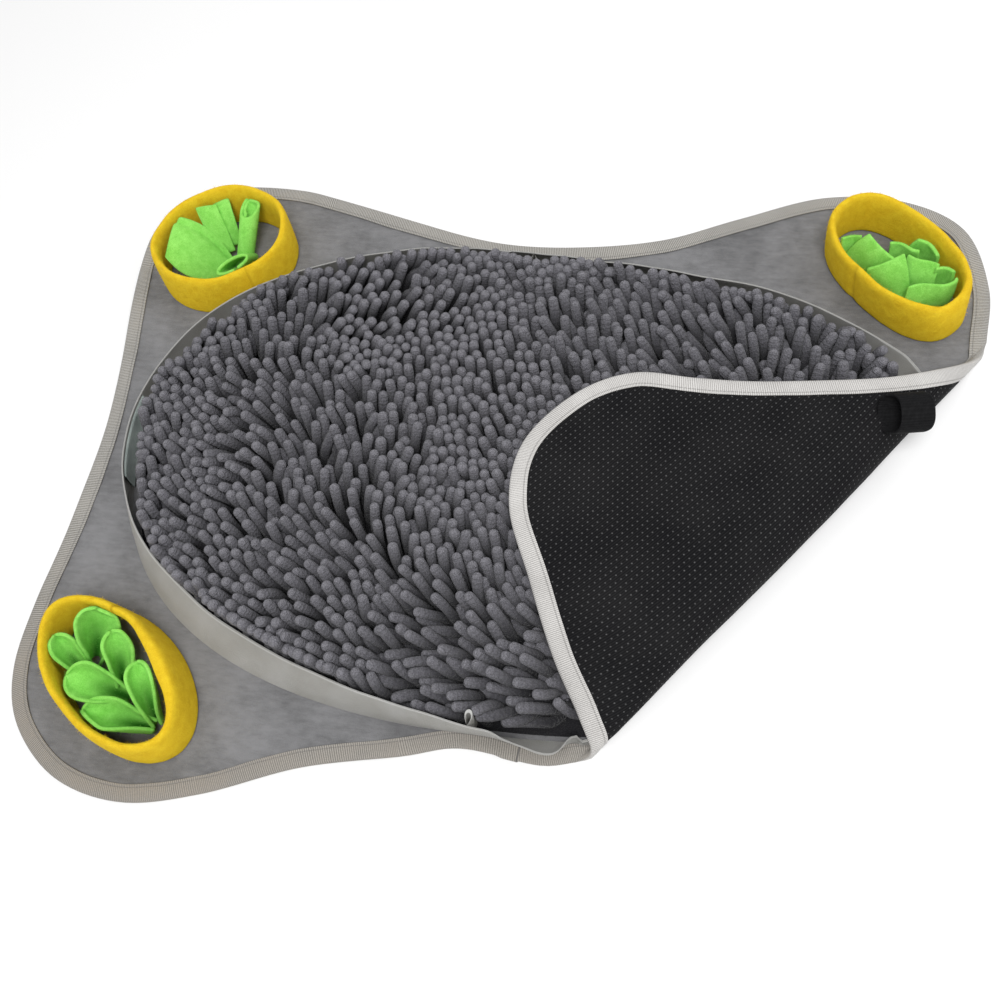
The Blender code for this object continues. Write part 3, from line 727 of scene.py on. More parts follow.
def add_pinch(angle, surface):
    """A small upright loop where the ribbon has been pinched together, toward the noodles."""
    inward = -ring_normal(math.radians(angle))
    sideways = Vector((-inward.y, inward.x))
    section = ((0, -0.5), (0.5, -0.5), (1, -0.5), (1.012, 0), (1, 0.5), (0.5, 0.5), (0, 0.5))

    def point_at(along, across):
        share, out = section[round(across * (len(section) - 1))]
        turn = 2 * math.pi * along
        reach = (PINCH_LENGTH / 2 + out) * (1 - math.cos(turn))
        width = (PINCH_WIDTH * 0.65 + out) * math.sin(turn) * math.sin(turn / 2)
        foot = ribbon_spot(math.radians(angle), RIBBON_HEIGHT * share, -RIBBON / 2)
        flat = inward * reach + sideways * width
        return foot + Vector((flat.x, flat.y, 0.6 * share))

    def uv_at(along, across):
        share = min(section[round(across * (len(section) - 1))][0], 1)
        return along * PINCH_RUN, share * RIBBON_HEIGHT * 0.001

    mesh = shaped_grid(40, len(section) - 1, point_at, uv_at)
    piece = new_object("ribbon_pinch_%d" % angle, mesh, surface, 1.0)
    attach(piece, "root")


def add_ring_wall(surface):
    half = RIBBON_ROWS // 2

    def point_at(along, across):
        """Up the outer face, over the free edge, down the inner face and back underneath."""
        angle = 2 * math.pi * along
        row = round(across * RIBBON_ROWS)
        if row == half:
            return ribbon_spot(angle, RIBBON_HEIGHT + RIBBON_ROUNDING, 0.0)
        if row < half:
            return ribbon_spot(angle, RIBBON_HEIGHT * row / (half - 1), RIBBON / 2)
        if row < RIBBON_ROWS - 1:
            return ribbon_spot(angle, RIBBON_HEIGHT * (RIBBON_ROWS - row) / (half - 1), -RIBBON / 2)
        return ribbon_spot(angle, 0.0, RIBBON / 2 if row == RIBBON_ROWS else -RIBBON / 2)

    def uv_at(along, across):
        row = across * RIBBON_ROWS
        up = min(row, RIBBON_ROWS - row) / (half - 1)
        return along * RIBBON_LENGTH * 0.001, min(up, 1.03) * RIBBON_HEIGHT * 0.001

    mesh = shaped_grid(RIBBON_STATIONS, RIBBON_ROWS, point_at, uv_at)
    piece = new_object("ring_wall", mesh, surface, 1.0)
    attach(piece, "root")
    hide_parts("ring_wall")
    return piece


ribbon_twill = twill()
ring_wall = add_ring_wall(ribbon_twill)
for pinch_angle in PINCHES:
    add_pinch(pinch_angle, ribbon_twill)

# ---- Patch on the ribbon ----
# A short piece of pale satin tape is sewn over the ribbon's inner face at the left, and covers
# the place where the ribbon's two ends meet.

PATCH_START = 173.33
PATCH_END = 186.67
PATCH_LOW = 3.0
PATCH_HIGH = 24.0
PATCH_OFFSET = -1.9
PATCH_THICKNESS = 1.0
PATCH_STEPS = 12
PATCH_RUN = 0.067
PATCH_ROUND = 0.045
SATIN_PITCH = 0.0008
MINT_SHADE = (0.36, 0.43, 0.41, 1)
MINT_PALE = (0.55, 0.62, 0.59, 1)


def pale_satin():
    finish = Finish("pale_mint", 0.34, Sheen_Weight=0.1, Sheen_Roughness=0.3)
    vector, _, y = finish.plan()
    weave = y.ribs(SATIN_PITCH)
    clouds = finish.mottle(vector, 120.0, 3.0)
    finish.tone(finish.blend((clouds + weave * 0.2).between(0.3, 0.9), MINT_SHADE, MINT_PALE))
    finish.relief(weave + clouds * 3.0, 0.0002)
    return finish.material


def add_wall_patch():
    def point_at(along, across):
        angle = math.radians(PATCH_START + (PATCH_END - PATCH_START) * along)
        row = round(across * 2 * PATCH_STEPS)
        side = -1 if row > PATCH_STEPS else 1
        share = min(row, 2 * PATCH_STEPS - row) / PATCH_STEPS
        up = PATCH_LOW + (PATCH_HIGH - PATCH_LOW) * share
        return ribbon_spot(angle, up, PATCH_OFFSET + side * PATCH_THICKNESS / 2)

    def uv_at(along, across):
        return along * PATCH_RUN, across * PATCH_ROUND

    mesh = shaped_grid(24, 2 * PATCH_STEPS, point_at, uv_at)
    bmesh.ops.holes_fill(mesh, edges=[edge for edge in mesh.edges if edge.is_boundary])
    bmesh.ops.recalc_face_normals(mesh, faces=mesh.faces[:])
    piece = new_object("wall_patch", mesh, pale_satin(), 0.8)
    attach(piece, "root")
    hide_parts("wall_patch")


add_wall_patch()

# ---- Noodles ----
# Chenille noodles, 7 to 8 mm thick and 32 to 40 mm long, are sewn down by one end all over the
# middle. They stand close together and lean in tufts, each tuft its own way.

NOODLE_PITCH = 10.0
NOODLE_ROW = 0.866
NOODLE_RADIUS = 3.85
NOODLE_CHORD = 33.0
NOODLE_RINGS = 8
BLUNT_TIP = ((0.5, 0.9), (0.82, 0.6), (0.97, 0.28), (1.0, 0.02))
NOODLE_REACH = 19.0
NOODLE_CLEAR = 1.0
HELD_REACH = 46.0
TUFT_RINGS = 17
SETTLE_STEPS = 14
SETTLE_PUSH = 0.28
SETTLE_STRAIGHTEN = 0.15
WALL_GAPS = (
    # angle, gap between the noodles' tips and the ribbon's free edge
    (0, 5), (20, 3), (50, 3), (82, 4), (88, 9), (93, 9), (99, 5), (130, 4), (160, 4), (173, 7),
    (184, 9), (195, 4), (210, 2), (262, 2), (272, 4), (282, 7), (292, 7), (300, 3), (360, 5),
)
PILE_FLOOR = 3.0
LEANS = (
    # root x, y, direction of the tip in degrees, how far it leans over
    (-274, -38, 70, 20), (-238, -44, 120, 23), (-261, -10, 117, 22), (-229, 27, 132, 14),
    (-256, 89, 20, 16), (-198, 86, 98, 20), (-176, 90, 70, 20), (-165, 85, 25, 22),
    (-135, 92, -30, 16), (-180, 25, 168, 24), (-170, 20, 205, 22), (-163, 21, 114, 30),
    (-148, 32, 102, 19), (-124, 23, 103, 20), (-102, 26, 100, 17), (-146, -25, 101, 30),
    (-179, -18, 194, 20), (-144, -44, 106, 22), (-135, -39, 72, 24), (-75, -41, 57, 18),
    (-92, 15, 69, 18), (-75, 52, 73, 14), (-57, 102, 20, 10), (-19, 72, 100, 12),
    (-120, 105, 10, 14), (-90, 133, 41, 18), (8, 18, 122, 15), (-225, -75, 169, 20),
    (-181, -111, 128, 16), (-164, -125, 177, 18), (-126, -125, 170, 14), (-110, -91, 170, 25),
    (-132, -63, 150, 24), (-103, -93, 127, 21), (-56, -107, 131, 21), (-77, -133, 121, 20),
    (-40, -128, 160, 26), (-46, -67, 90, 19), (2, -91, 110, 23), (21, -114, 129, 26),
    (-10, -145, 144, 26), (42, -136, 137, 27), (-84, -145, 180, 17), (-12, -143, 188, 28),
    (42, -132, 188, 31), (-11, -159, 192, 33), (46, -158, 211, 32), (14, 136, 99, 19),
    (71, 116, 117, 27), (131, 119, 127, 26), (158, 116, 105, 24), (141, 96, 137, 26),
    (190, 88, 106, 22), (203, 77, 86, 26), (214, 92, 65, 26), (234, 83, 47, 20),
    (50, 94, 118, 21),
)
NEAR_SPREAD = 480.0
FAR_SPREAD = 900.0
FAR_WEIGHT = 0.002
KNEE_SHARE = 0.22
LEAST_HEIGHT = 6.0
NOODLE_SPANS = ((-400, -120), (-120, 20), (20, 400))
# Height of the dark sheet of painted shade under the noodles.
SHADE_SHEET_LEVEL = 3.25
# The dark colour is also the painted shade at the noodles' roots.
CHENILLE_DARK = (0.012, 0.0117, 0.014, 1)
CHENILLE_PALE = (0.330, 0.323, 0.361, 1)


def chenille():
    """Small tufts in rings round each noodle; the UV's x runs from its root to its tip, and painted
    shade darkens each noodle toward its root.
    """
    finish = Finish("chenille", 0.95, Specular_IOR_Level=0.15, Sheen_Weight=0.15,
                    Sheen_Roughness=0.5)
    run = finish.plan()[1]
    vector = finish.space()
    tufts = finish.add("TexVoronoi", {}, {"Vector": vector, "Scale": 720.0}, "Distance")
    fuzz = finish.mottle(vector, 1500.0, 2.0, 0.75)
    patchy = finish.mottle(vector, 60.0, 2.0)
    rings = run.ribs(1 / TUFT_RINGS)
    # Painted shade: dark at the roots, lighter toward the tips.
    root_shade_mask = run.between(0.2, 1.0)
    shade = ((1 - tufts) * 0.5 + fuzz * 0.75 + rings * 0.12 + patchy * 0.2).between(0.5, 1.15)
    finish.tone(finish.blend(root_shade_mask * (shade * 0.55 + 0.5), CHENILLE_DARK, CHENILLE_PALE))
    finish.relief((1 - tufts) * 0.9 + rings * 0.3 + fuzz * 0.5, 0.0016)
    return finish.material


def lean_at(x, y):
    """How far and which way the noodle rooted here leans, from the leans round it."""
    total = Vector((0.0, 0.0))
    weight_sum = 1e-9
    for root_x, root_y, direction, lean in LEANS:
        away = (x - root_x)**2 + (y - root_y)**2
        weight = math.exp(-away / NEAR_SPREAD) + FAR_WEIGHT / (1 + away / FAR_SPREAD)
        turn = math.radians(direction)
        total += Vector((math.cos(turn), math.sin(turn))) * lean * weight
        weight_sum += weight
    return total / weight_sum


def wall_gap(angle):
    """Room that the noodles leave beside the ribbon."""
    return lookup(WALL_GAPS, math.degrees(angle) % 360)


def room_inside(angle, clear):
    """Distance from the ring's middle at which a point clears the ribbon's foot."""
    facing = ring_normal(angle).dot(ring_point(angle).normalized())
    return ring_radius(angle) - clear / facing


def inside_ribbon(spot, height, clear):
    """Keeps a point of a noodle inside the leaning ribbon."""
    angle = math.atan2(spot.y, spot.x)
    lean = ribbon_lean(angle)
    rise = math.sqrt(RIBBON_HEIGHT**2 - lean**2)
    share = min(max(height, 0.0) / rise, 1.0)
    limit = room_inside(angle, max(lean, -3.0) * share + clear)
    reach = spot.length
    return spot * (limit / reach) if reach > limit else spot


def noodle_path(root, lean, chord):
    """Centre line of a noodle, bending from upright at its root towards its lean."""
    height = math.sqrt(max(chord**2 - lean.length_squared, LEAST_HEIGHT**2))
    knee = root + lean * KNEE_SHARE
    tip = root + lean
    path = []
    for ring in range(NOODLE_RINGS):
        t = ring / (NOODLE_RINGS - 1)
        spot = root * (1 - t)**2 + knee * (2 * t * (1 - t)) + tip * t**2
        path.append((spot.x, spot.y, PILE_FLOOR + height * (1.3 * t * (1 - t) + t**2)))
    return path


def hold_in(paths, number):
    """Keeps one noodle inside the leaning ribbon and under the folded corner."""
    for ring in range(1, NOODLE_RINGS):
        x, y, level = paths[number, ring]
        gap = wall_gap(math.atan2(y, x)) * min(ring / 4, 1.0)
        clear = NOODLE_RADIUS + NOODLE_CLEAR + gap
        spot = inside_ribbon(Vector((x, y)), level - PILE_FLOOR, clear)
        if is_covered(spot.x, spot.y, 5.0):
            along, past = fold_frame(spot.x, spot.y)
            ceiling = lap_height(along, -past) - BOUND_THICKNESS - NOODLE_RADIUS - 0.8
            level = min(level, max(ceiling, PILE_FLOOR + NOODLE_RADIUS))
        paths[number, ring] = (spot.x, spot.y, level)


def settle(paths, held):
    """Pushes noodles apart step by step, each keeping its length."""
    count = len(paths)
    spans = np.linalg.norm(np.diff(paths, axis=1), axis=2)
    owner = np.repeat(np.arange(count), NOODLE_RINGS)
    free = np.tile(np.arange(NOODLE_RINGS) > 1, count)
    for step in range(SETTLE_STEPS):
        flat = paths.reshape(-1, 3)
        tree = kdtree.KDTree(len(flat))
        for index, point in enumerate(flat.tolist()):
            tree.insert(point, index)
        tree.balance()
        pairs = []
        for index, point in enumerate(flat.tolist()):
            for found in tree.find_range(point, 2 * NOODLE_RADIUS):
                other = found[1]
                if other > index and owner[other] != owner[index]:
                    pairs.append((index, other))
        near = np.array(pairs)
        apart = flat[near[:, 0]] - flat[near[:, 1]]
        distance = np.maximum(np.linalg.norm(apart, axis=1, keepdims=True), 0.05)
        push = apart / distance * (2 * NOODLE_RADIUS - distance) * SETTLE_PUSH
        moved = np.zeros_like(flat)
        np.add.at(moved, near[:, 0], push)
        np.add.at(moved, near[:, 1], -push)
        flat += moved * free[:, None]
        kinks = paths[:, :-2] + paths[:, 2:] - 2 * paths[:, 1:-1]
        paths[:, 1:-1] += SETTLE_STRAIGHTEN * kinks
        for ring in range(1, NOODLE_RINGS):
            run = paths[:, ring] - paths[:, ring - 1]
            length = np.linalg.norm(run, axis=1, keepdims=True)
            paths[:, ring] = paths[:, ring - 1] + run / length * spans[:, ring - 1, None]
        low = PILE_FLOOR + NOODLE_RADIUS * 0.9
        paths[:, 2:, 2] = np.maximum(paths[:, 2:, 2], low)
        for number in held:
            hold_in(paths, number)


def noodle_roots(rng):
    """Close rows inside the ribbon, as far as they show in front of the folded corner."""
    roots = []
    rows = int(2 * RING_HALF_WIDTH / (NOODLE_PITCH * NOODLE_ROW)) + 2
    columns = int(2 * RING_HALF_LENGTH / NOODLE_PITCH) + 2
    for row in range(rows):
        for column in range(columns):
            x = -RING_HALF_LENGTH + (column + 0.5 * (row % 2)) * NOODLE_PITCH
            y = -RING_HALF_WIDTH + row * NOODLE_PITCH * NOODLE_ROW
            spot = Vector((x + rng.uniform(-1.3, 1.3), y + rng.uniform(-1.3, 1.3)))
            angle = math.atan2(spot.y, spot.x)
            clear = 0.5 * (max(ribbon_lean(angle), 0.0) + wall_gap(angle))
            beyond_ring = spot.length > room_inside(angle, NOODLE_RADIUS + NOODLE_CLEAR + clear)
            beyond_edge = edge_distance(*spot) < SAG_END + NOODLE_RADIUS
            hidden = is_covered(*spot, -NOODLE_REACH) or fold_frame(*spot)[1] > -7
            if not (beyond_ring or beyond_edge or hidden):
                roots.append(spot)
    return roots


def solid_strands(name, strands, surface):
    """Turns a curve object's round strands into a mesh piece."""
    draft = bpy.data.objects.new(name, strands)
    bpy.context.scene.collection.objects.link(draft)
    graph = bpy.context.evaluated_depsgraph_get()
    data = bpy.data.meshes.new_from_object(draft.evaluated_get(graph))
    bpy.data.objects.remove(draft)
    bpy.data.curves.remove(strands)
    data.name = name
    data.materials.clear()
    data.materials.append(surface)
    data.shade_smooth()
    piece = bpy.data.objects.new(name, data)
    bpy.context.scene.collection.objects.link(piece)
    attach(piece, "root")
    return piece


def add_noodles(name, paths, rng, surface):
    """One group of noodles: round strands with blunt tips."""
    strands = bpy.data.curves.new(name, "CURVE")
    strands.dimensions = "3D"
    strands.bevel_depth = NOODLE_RADIUS * 0.001
    strands.bevel_resolution = 2
    for path in paths:
        points = [metres(point) for point in path.tolist()]
        girth = rng.uniform(0.92, 1.06)
        rings = [(point, 1 + rng.uniform(-0.035, 0.035)) for point in points]
        ahead = (points[-1] - points[-2]).normalized() * NOODLE_RADIUS * 0.001 * girth
        for reach, plump in BLUNT_TIP:
            rings.append((points[-1] + ahead * reach, plump))
        strand = strands.splines.new("POLY")
        strand.points.add(len(rings) - 1)
        for index, (point, plump) in enumerate(rings):
            strand.points[index].co = (*point, 1)
            strand.points[index].radius = girth * plump
    return solid_strands(name, strands, surface)


noodle_random = random.Random(7)
noodle_surface = chenille()
noodle_paths = []
held_noodles = []
for number, root in enumerate(noodle_roots(noodle_random)):
    lean = lean_at(root.x, root.y)
    lean.rotate(Matrix.Rotation(noodle_random.gauss(0, 0.17), 2))
    lean *= noodle_random.uniform(0.85, 1.25)
    chord = NOODLE_CHORD * noodle_random.uniform(0.86, 1.07)
    noodle_paths.append(noodle_path(root, lean, chord))
    beside_wall = root.length > ring_radius(math.atan2(root.y, root.x)) - HELD_REACH
    if beside_wall or is_covered(root.x, root.y, HELD_REACH):
        held_noodles.append(number)
noodle_paths = np.array(noodle_paths)
settle(noodle_paths, held_noodles)
for group, (start, end) in enumerate(NOODLE_SPANS):
    in_group = (noodle_paths[:, 0, 0] >= start) & (noodle_paths[:, 0, 0] < end)
    add_noodles("noodles_%d" % group, noodle_paths[in_group], noodle_random,
                                     noodle_surface)
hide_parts("pile")


def add_noodle_shade_sheet():
    """A dark sheet just under the noodles' roots, painted shade for the gaps between them."""
    def point_at(along, across):
        angle = 2 * math.pi * along
        spot = ring_point(angle) * (0.02 + 0.96 * across)
        past = fold_frame(*spot)[1]
        if past > -5:
            spot = spot + ACROSS * (-5 - past)
        spot = inside_ribbon(spot, 0, 2.0)
        return Vector((spot.x, spot.y, SHADE_SHEET_LEVEL))

    # A UV x of 0 gives the sheet the chenille's darkest painted root shade.
    def uv_at(along, across):
        return 0.0, across

    mesh = shaped_grid(96, 14, point_at, uv_at)
    piece = new_object("noodle_shade_sheet", mesh, noodle_surface, 3.0)
    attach(piece, "root")


add_noodle_shade_sheet()

# ---- Felt collars ----
# Three corners carry a collar of yellow felt, folded double so that its rim is plump and round.
# Each is a low oval wall, sewn down at its foot and open above.

FELT_WALL = 6.0
CUP_HEIGHT = 34.0
CUP_FLOOR = 3.0
CUP_COLUMNS = 144
CUP_PROFILE = (
    # share of the height, distance out from the middle of the wall
    (0.0, 2.6), (0.1, 3.0), (0.25, 3.2), (0.42, 3.35), (0.58, 3.35), (0.74, 3.2), (0.86, 3.0),
    (0.94, 2.4), (0.99, 1.3), (1.0, 0.0), (0.99, -1.3), (0.94, -2.4), (0.86, -3.0),
    (0.74, -3.1), (0.58, -2.9), (0.42, -2.7), (0.25, -2.6), (0.1, -2.6), (0.0, -2.2), (0.0, 0.0),
)
CUPS = {
    # foot x, y, half length, half width, rim x, y, half length, half width, turn, power
    "back_left": (-253.6, 167.7, 54, 43, -253.5, 174.2, 53, 43, 19, 2.0),
    "back_right": (262, 178, 55, 29.5, 257, 183, 53, 31.5, -46, 2.4),
    "front_left": (-245.5, -175.5, 62, 38, -247, -171.5, 62, 34, -37.5, 1.95),
}
CUP_SHAPES = {
    # swelling of the inner face: angle, spread, depth; dip of the rim: angle, spread, depth;
    # angle of the seam
    "back_left": (200, 60, 0.0, 0, 30, 0.0, -69),
    "back_right": (90, 60, 0.0, -4, 38, 7.0, -96),
    "front_left": (62, 50, 4.5, 0, 30, 0.0, 120),
}
YELLOW_DEEP = (0.74, 0.45, 0.010, 1)
YELLOW = (0.93, 0.68, 0.035, 1)
YELLOW_SEAM = (0.45, 0.22, 0.004, 1)
FIBRE_RADIUS = 0.00006
FUZZ_COUNT = 2600
FUZZ_LENGTH = 0.0021
FUZZ_FLOOR = 0.007


def felt(name, deep, bright, seam_and_shade, is_leaf):
    """Felt; a collar's UV x runs away from its dark seam, a leaf's UV is along and across it, and
    painted shade darkens a leaf toward its root and along its middle crease.
    """
    finish = Finish(name, 0.95, Specular_IOR_Level=0.15, Sheen_Weight=0.2, Sheen_Roughness=0.6,
                    Sheen_Tint=bright)
    x, y = finish.plan()[1:]
    vector = finish.space()
    clumps = finish.mottle(vector, 160.0, 4.0, 0.65)
    fibres = finish.mottle(vector, 1400.0, 3.0, 0.75)
    shade = (clumps * 0.6 + fibres * 0.7).between(0.35, 0.95)
    if is_leaf:
        # Painted shade: a leaf darkens toward its root and along its middle crease.
        crease = 1 - y.beyond(0.5, 0.0, 0.24)
        marks = ((1 - x.between(0.1, 0.95)) * (crease * 0.75 + 0.3)).clipped()
    else:
        # A dark line along the collar's seam.
        marks = (1 - x.between(0.0, 0.011)) * 0.6
    finish.tone(finish.blend(marks, finish.blend(shade, deep, bright), seam_and_shade))
    finish.relief(fibres + clumps * 0.9 - marks * 0.5, 0.0009)
    return finish.material


def subdivide(piece):
    """Rounds a piece off by one level."""
    finer = piece.modifiers.new("smoothing", "SUBSURF")
    finer.levels = 1
    finer.render_levels = 1


def add_fuzz(piece, surface):
    """Loose fibres that stand out of a felt piece."""
    rng = random.Random(3)
    graph = bpy.context.evaluated_depsgraph_get()
    source = piece.evaluated_get(graph).to_mesh()
    fibres = bpy.data.curves.new(piece.name + "_fuzz", "CURVE")
    fibres.dimensions = "3D"
    fibres.bevel_depth = FIBRE_RADIUS
    fibres.bevel_resolution = 0
    for _ in range(FUZZ_COUNT):
        vert = source.vertices[rng.randrange(len(source.vertices))]
        if vert.co.z < FUZZ_FLOOR:
            continue
        stray = Vector((rng.gauss(0, 0.7), rng.gauss(0, 0.7), rng.gauss(0, 0.7)))
        away = (vert.normal + stray).normalized() * FUZZ_LENGTH * rng.uniform(0.4, 1.0)
        strand = fibres.splines.new("POLY")
        strand.points.add(1)
        strand.points[0].co = (*vert.co, 1)
        strand.points[1].co = (*(vert.co + away), 1)
        strand.points[1].radius = 0.5
    return solid_strands(piece.name + "_fuzz", fibres, surface)


def turned_axes(turn):
    """An oval's long and short directions."""
    spin = math.radians(turn)
    return Vector((math.cos(spin), math.sin(spin))), Vector((-math.sin(spin), math.cos(spin)))


def oval(x, y, half_length, half_width, turn, power, angle):
    """Point on a rounded oval and its outward direction."""
    c, s = math.cos(angle), math.sin(angle)
    local = Vector((half_length * math.copysign(abs(c)**(2 / power), c),
                    half_width * math.copysign(abs(s)**(2 / power), s)))
    outward = Vector((c / half_length, s / half_width)).normalized()
    along, side = turned_axes(turn)
    return (Vector((x, y)) + along * local.x + side * local.y,
            along * outward.x + side * outward.y)


def add_cup(name, row, surface):
    foot_x, foot_y, foot_long, foot_wide, rim_x, rim_y, rim_long, rim_wide, turn, power = row
    swell_angle, swell_spread, swell, dip_angle, dip_spread, dip, seam_angle = CUP_SHAPES[name]

    def hump(angle, middle, spread):
        """1 at the middle angle, fading to 0 at the spread on either side, in degrees."""
        away = abs((math.degrees(angle) - middle + 180) % 360 - 180)
        return smooth(1 - away / spread)

    def point_at(along, across):
        angle = 2 * math.pi * along
        foot, outward = oval(foot_x, foot_y, foot_long, foot_wide, turn, power, angle)
        rim = oval(rim_x, rim_y, rim_long, rim_wide, turn, power, angle)[0]
        share, out = profile_row(CUP_PROFILE, across)
        spot = foot.lerp(rim, share)
        uneven = noise.noise(Vector((spot.x / 22, spot.y / 22, share * 1.5)))
        fine = noise.noise(Vector((spot.x / 5, spot.y / 5, share * 7 + out)))
        if out < 0:
            out -= swell * share * hump(angle, swell_angle, swell_spread)
        if out > 0:
            out -= 1.2 * hump(angle, seam_angle, 4.0)
        spot += outward * (out + 1.3 * uneven * share + 0.25 * fine)
        rise = 1.2 * noise.noise(Vector((spot.x / 35, spot.y / 35, 8.0))) * share
        rise -= dip * share**2 * hump(angle, dip_angle, dip_spread)
        return Vector((spot.x, spot.y, CUP_FLOOR + CUP_HEIGHT * share + rise))

    def uv_at(along, across):
        away = abs((360 * along - seam_angle + 180) % 360 - 180)
        return away / 180, across

    mesh = shaped_grid(CUP_COLUMNS, len(CUP_PROFILE), point_at, uv_at)
    piece = new_object("cup_" + name, mesh, surface, 3.0)
    subdivide(piece)
    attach(piece, "root")
    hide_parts("cup_" + name)
    add_fuzz(piece, surface)


yellow_felt = felt("felt_yellow", YELLOW_DEEP, YELLOW, YELLOW_SEAM, is_leaf=False)
for cup_name, cup_row in CUPS.items():
    add_cup(cup_name, cup_row, yellow_felt)

# ---- Felt leaves ----
# Green felt leaves are sewn by their feet to the floor inside each collar. They are folded,
# flapped over or rolled up, and lean on each other and on the collar's wall.

LEAF_FELT = 2.6
LEAF_CLEAR = 1.8
LEAF_STEP = 0.3
LEAF_LOW = 1.8
LEAF_HIGH = CUP_HEIGHT + 5
LEAF_ROOT_WIDTH = 0.6
LEAVES = {
    # x, y, z of the root, the middle and the tip; width; fold of each half at the root and the
    # tip, in degrees; bearing and slope that the hollow faces; bluntness of the tip
    "front_left": (
        (-275, -171, 5, -284, -163, 17, -293, -152, 27, 29, 95, 60, -9, 59, 2.6),
        (-271, -163, 5, -267, -146, 19, -267, -128, 31, 46, 110, 42, -9, 59, 1.8),
        (-247, -177, 5, -246, -160, 19, -252, -145, 29, 36, 105, 62, -20, 59, 1.9),
        (-238, -185, 5, -257, -181, 16, -279, -177, 23, 45, 105, 55, -9, 59, 1.8),
        (-215, -202, 5, -239, -200, 16, -262, -199, 21, 41, 105, 60, 20, 59, 2.0),
        (-214, -199, 5, -220, -181, 22, -228, -163, 29, 37, 110, 75, -50, 50, 2.4),
    ),
}
FLAPS = {
    # the two corners of the foot, then the two of the free end, each x, y, z; how far the middle
    # swells, how deep its wave is, where a crease runs along it, how far its sides bow out
    "back_left": (
        (-258, 149, 3, -250, 169, 6, -296, 192, 29, -299, 156, 23, 5.0, 0.0, 0.84, 7.0),
        (-265, 171, 5, -250, 177, 6, -265, 205, 28, -282, 201, 28, 2.5, 0.0, 0.0, 0.0),
        (-260, 180, 5, -246, 184, 6, -256, 212, 28, -270, 207, 25, 2.0, 0.0, 0.0, 0.0),
    ),
    "back_right": (
        (238, 197, 5, 223, 196, 6, 222, 203, 17, 236, 205, 18, -2.5, 0.0, 0.0, 0.0),
        (225, 193, 7, 243, 181, 4, 256, 180, 26, 239, 200, 27, 2.5, 0.0, 0.0, 1.5),
        (248, 171, 3, 270, 158, 4, 262, 183, 29, 239, 175, 20, 3.0, 0.6, 0.0, 3.0),
        (267, 194, 7, 286, 185, 7, 285, 183, 27, 272, 196, 28, -4.5, 0.0, 0.0, 2.0),
        (256, 190, 8, 276, 184, 8, 273, 187, 27, 254, 196, 23, -2.0, -1.2, 0.0, 0.0),
        (262, 171, 3, 286, 162, 4, 286, 176, 27, 266, 185, 25, 1.5, 1.8, 0.0, 0.0),
        (267, 148, 3, 296, 156, 5, 298, 165, 28, 266, 159, 23, 3.0, -3.2, 0.0, 1.0),
        (280, 170, 6, 298, 166, 7, 296, 169, 28, 284, 174, 26, -3.5, 0.0, 0.0, 0.0),
    ),
}
ROLLS = {
    # foot and mouth, each x, y, z; half of the roll's width at its mouth as x, y, z; half its
    # depth; turns; how far its far side stands out past its near side
    "back_left": (
        (-240, 166, 4, -235, 206, 28, 7.6, 6.6, 0.0, 7.2, 1.4, 11.0),
        (-240, 167, 5, -240, 151, 24, 11.5, 7.0, 2.0, 4.2, 0.97, 1.5),
    ),
}
GREEN_DEEP = (0.20, 0.64, 0.075, 1)
GREEN = (0.40, 0.92, 0.19, 1)
GREEN_SHADOW = (0.022, 0.15, 0.008, 1)


def inside_cup(spot, cup, clear):
    """Pulls a point of a leaf in until it clears the collar's wall, its floor and its rim."""
    foot_x, foot_y, foot_long, foot_wide, rim_x, rim_y, rim_long, rim_wide, turn, power = cup
    level = min(max(spot.z, LEAF_LOW), LEAF_HIGH)
    share = min(level / CUP_HEIGHT, 1.0)
    along, side = turned_axes(turn)
    centre = Vector((foot_x, foot_y)).lerp(Vector((rim_x, rim_y)), share)
    half_length = foot_long + (rim_long - foot_long) * share - FELT_WALL / 2 - clear
    half_width = foot_wide + (rim_wide - foot_wide) * share - FELT_WALL / 2 - clear
    offset = spot.xy - centre
    reach = (abs(offset.dot(along) / half_length)**power
             + abs(offset.dot(side) / half_width)**power)**(1 / power)
    flat = centre + offset / max(reach, 1.0)
    return Vector((flat.x, flat.y, CUP_FLOOR + level))


def fold_curve(fold, share):
    """Place on a strip's cross-section, half a unit wide, that turns most near its middle."""
    across, up = 0.0, 0.0
    steps = 10
    for step in range(steps):
        u = (step + 0.5) / steps * share
        turn = fold * (1 - (1 - u)**2.3)
        across += math.cos(turn) * share / steps
        up += math.sin(turn) * share / steps
    return across, up


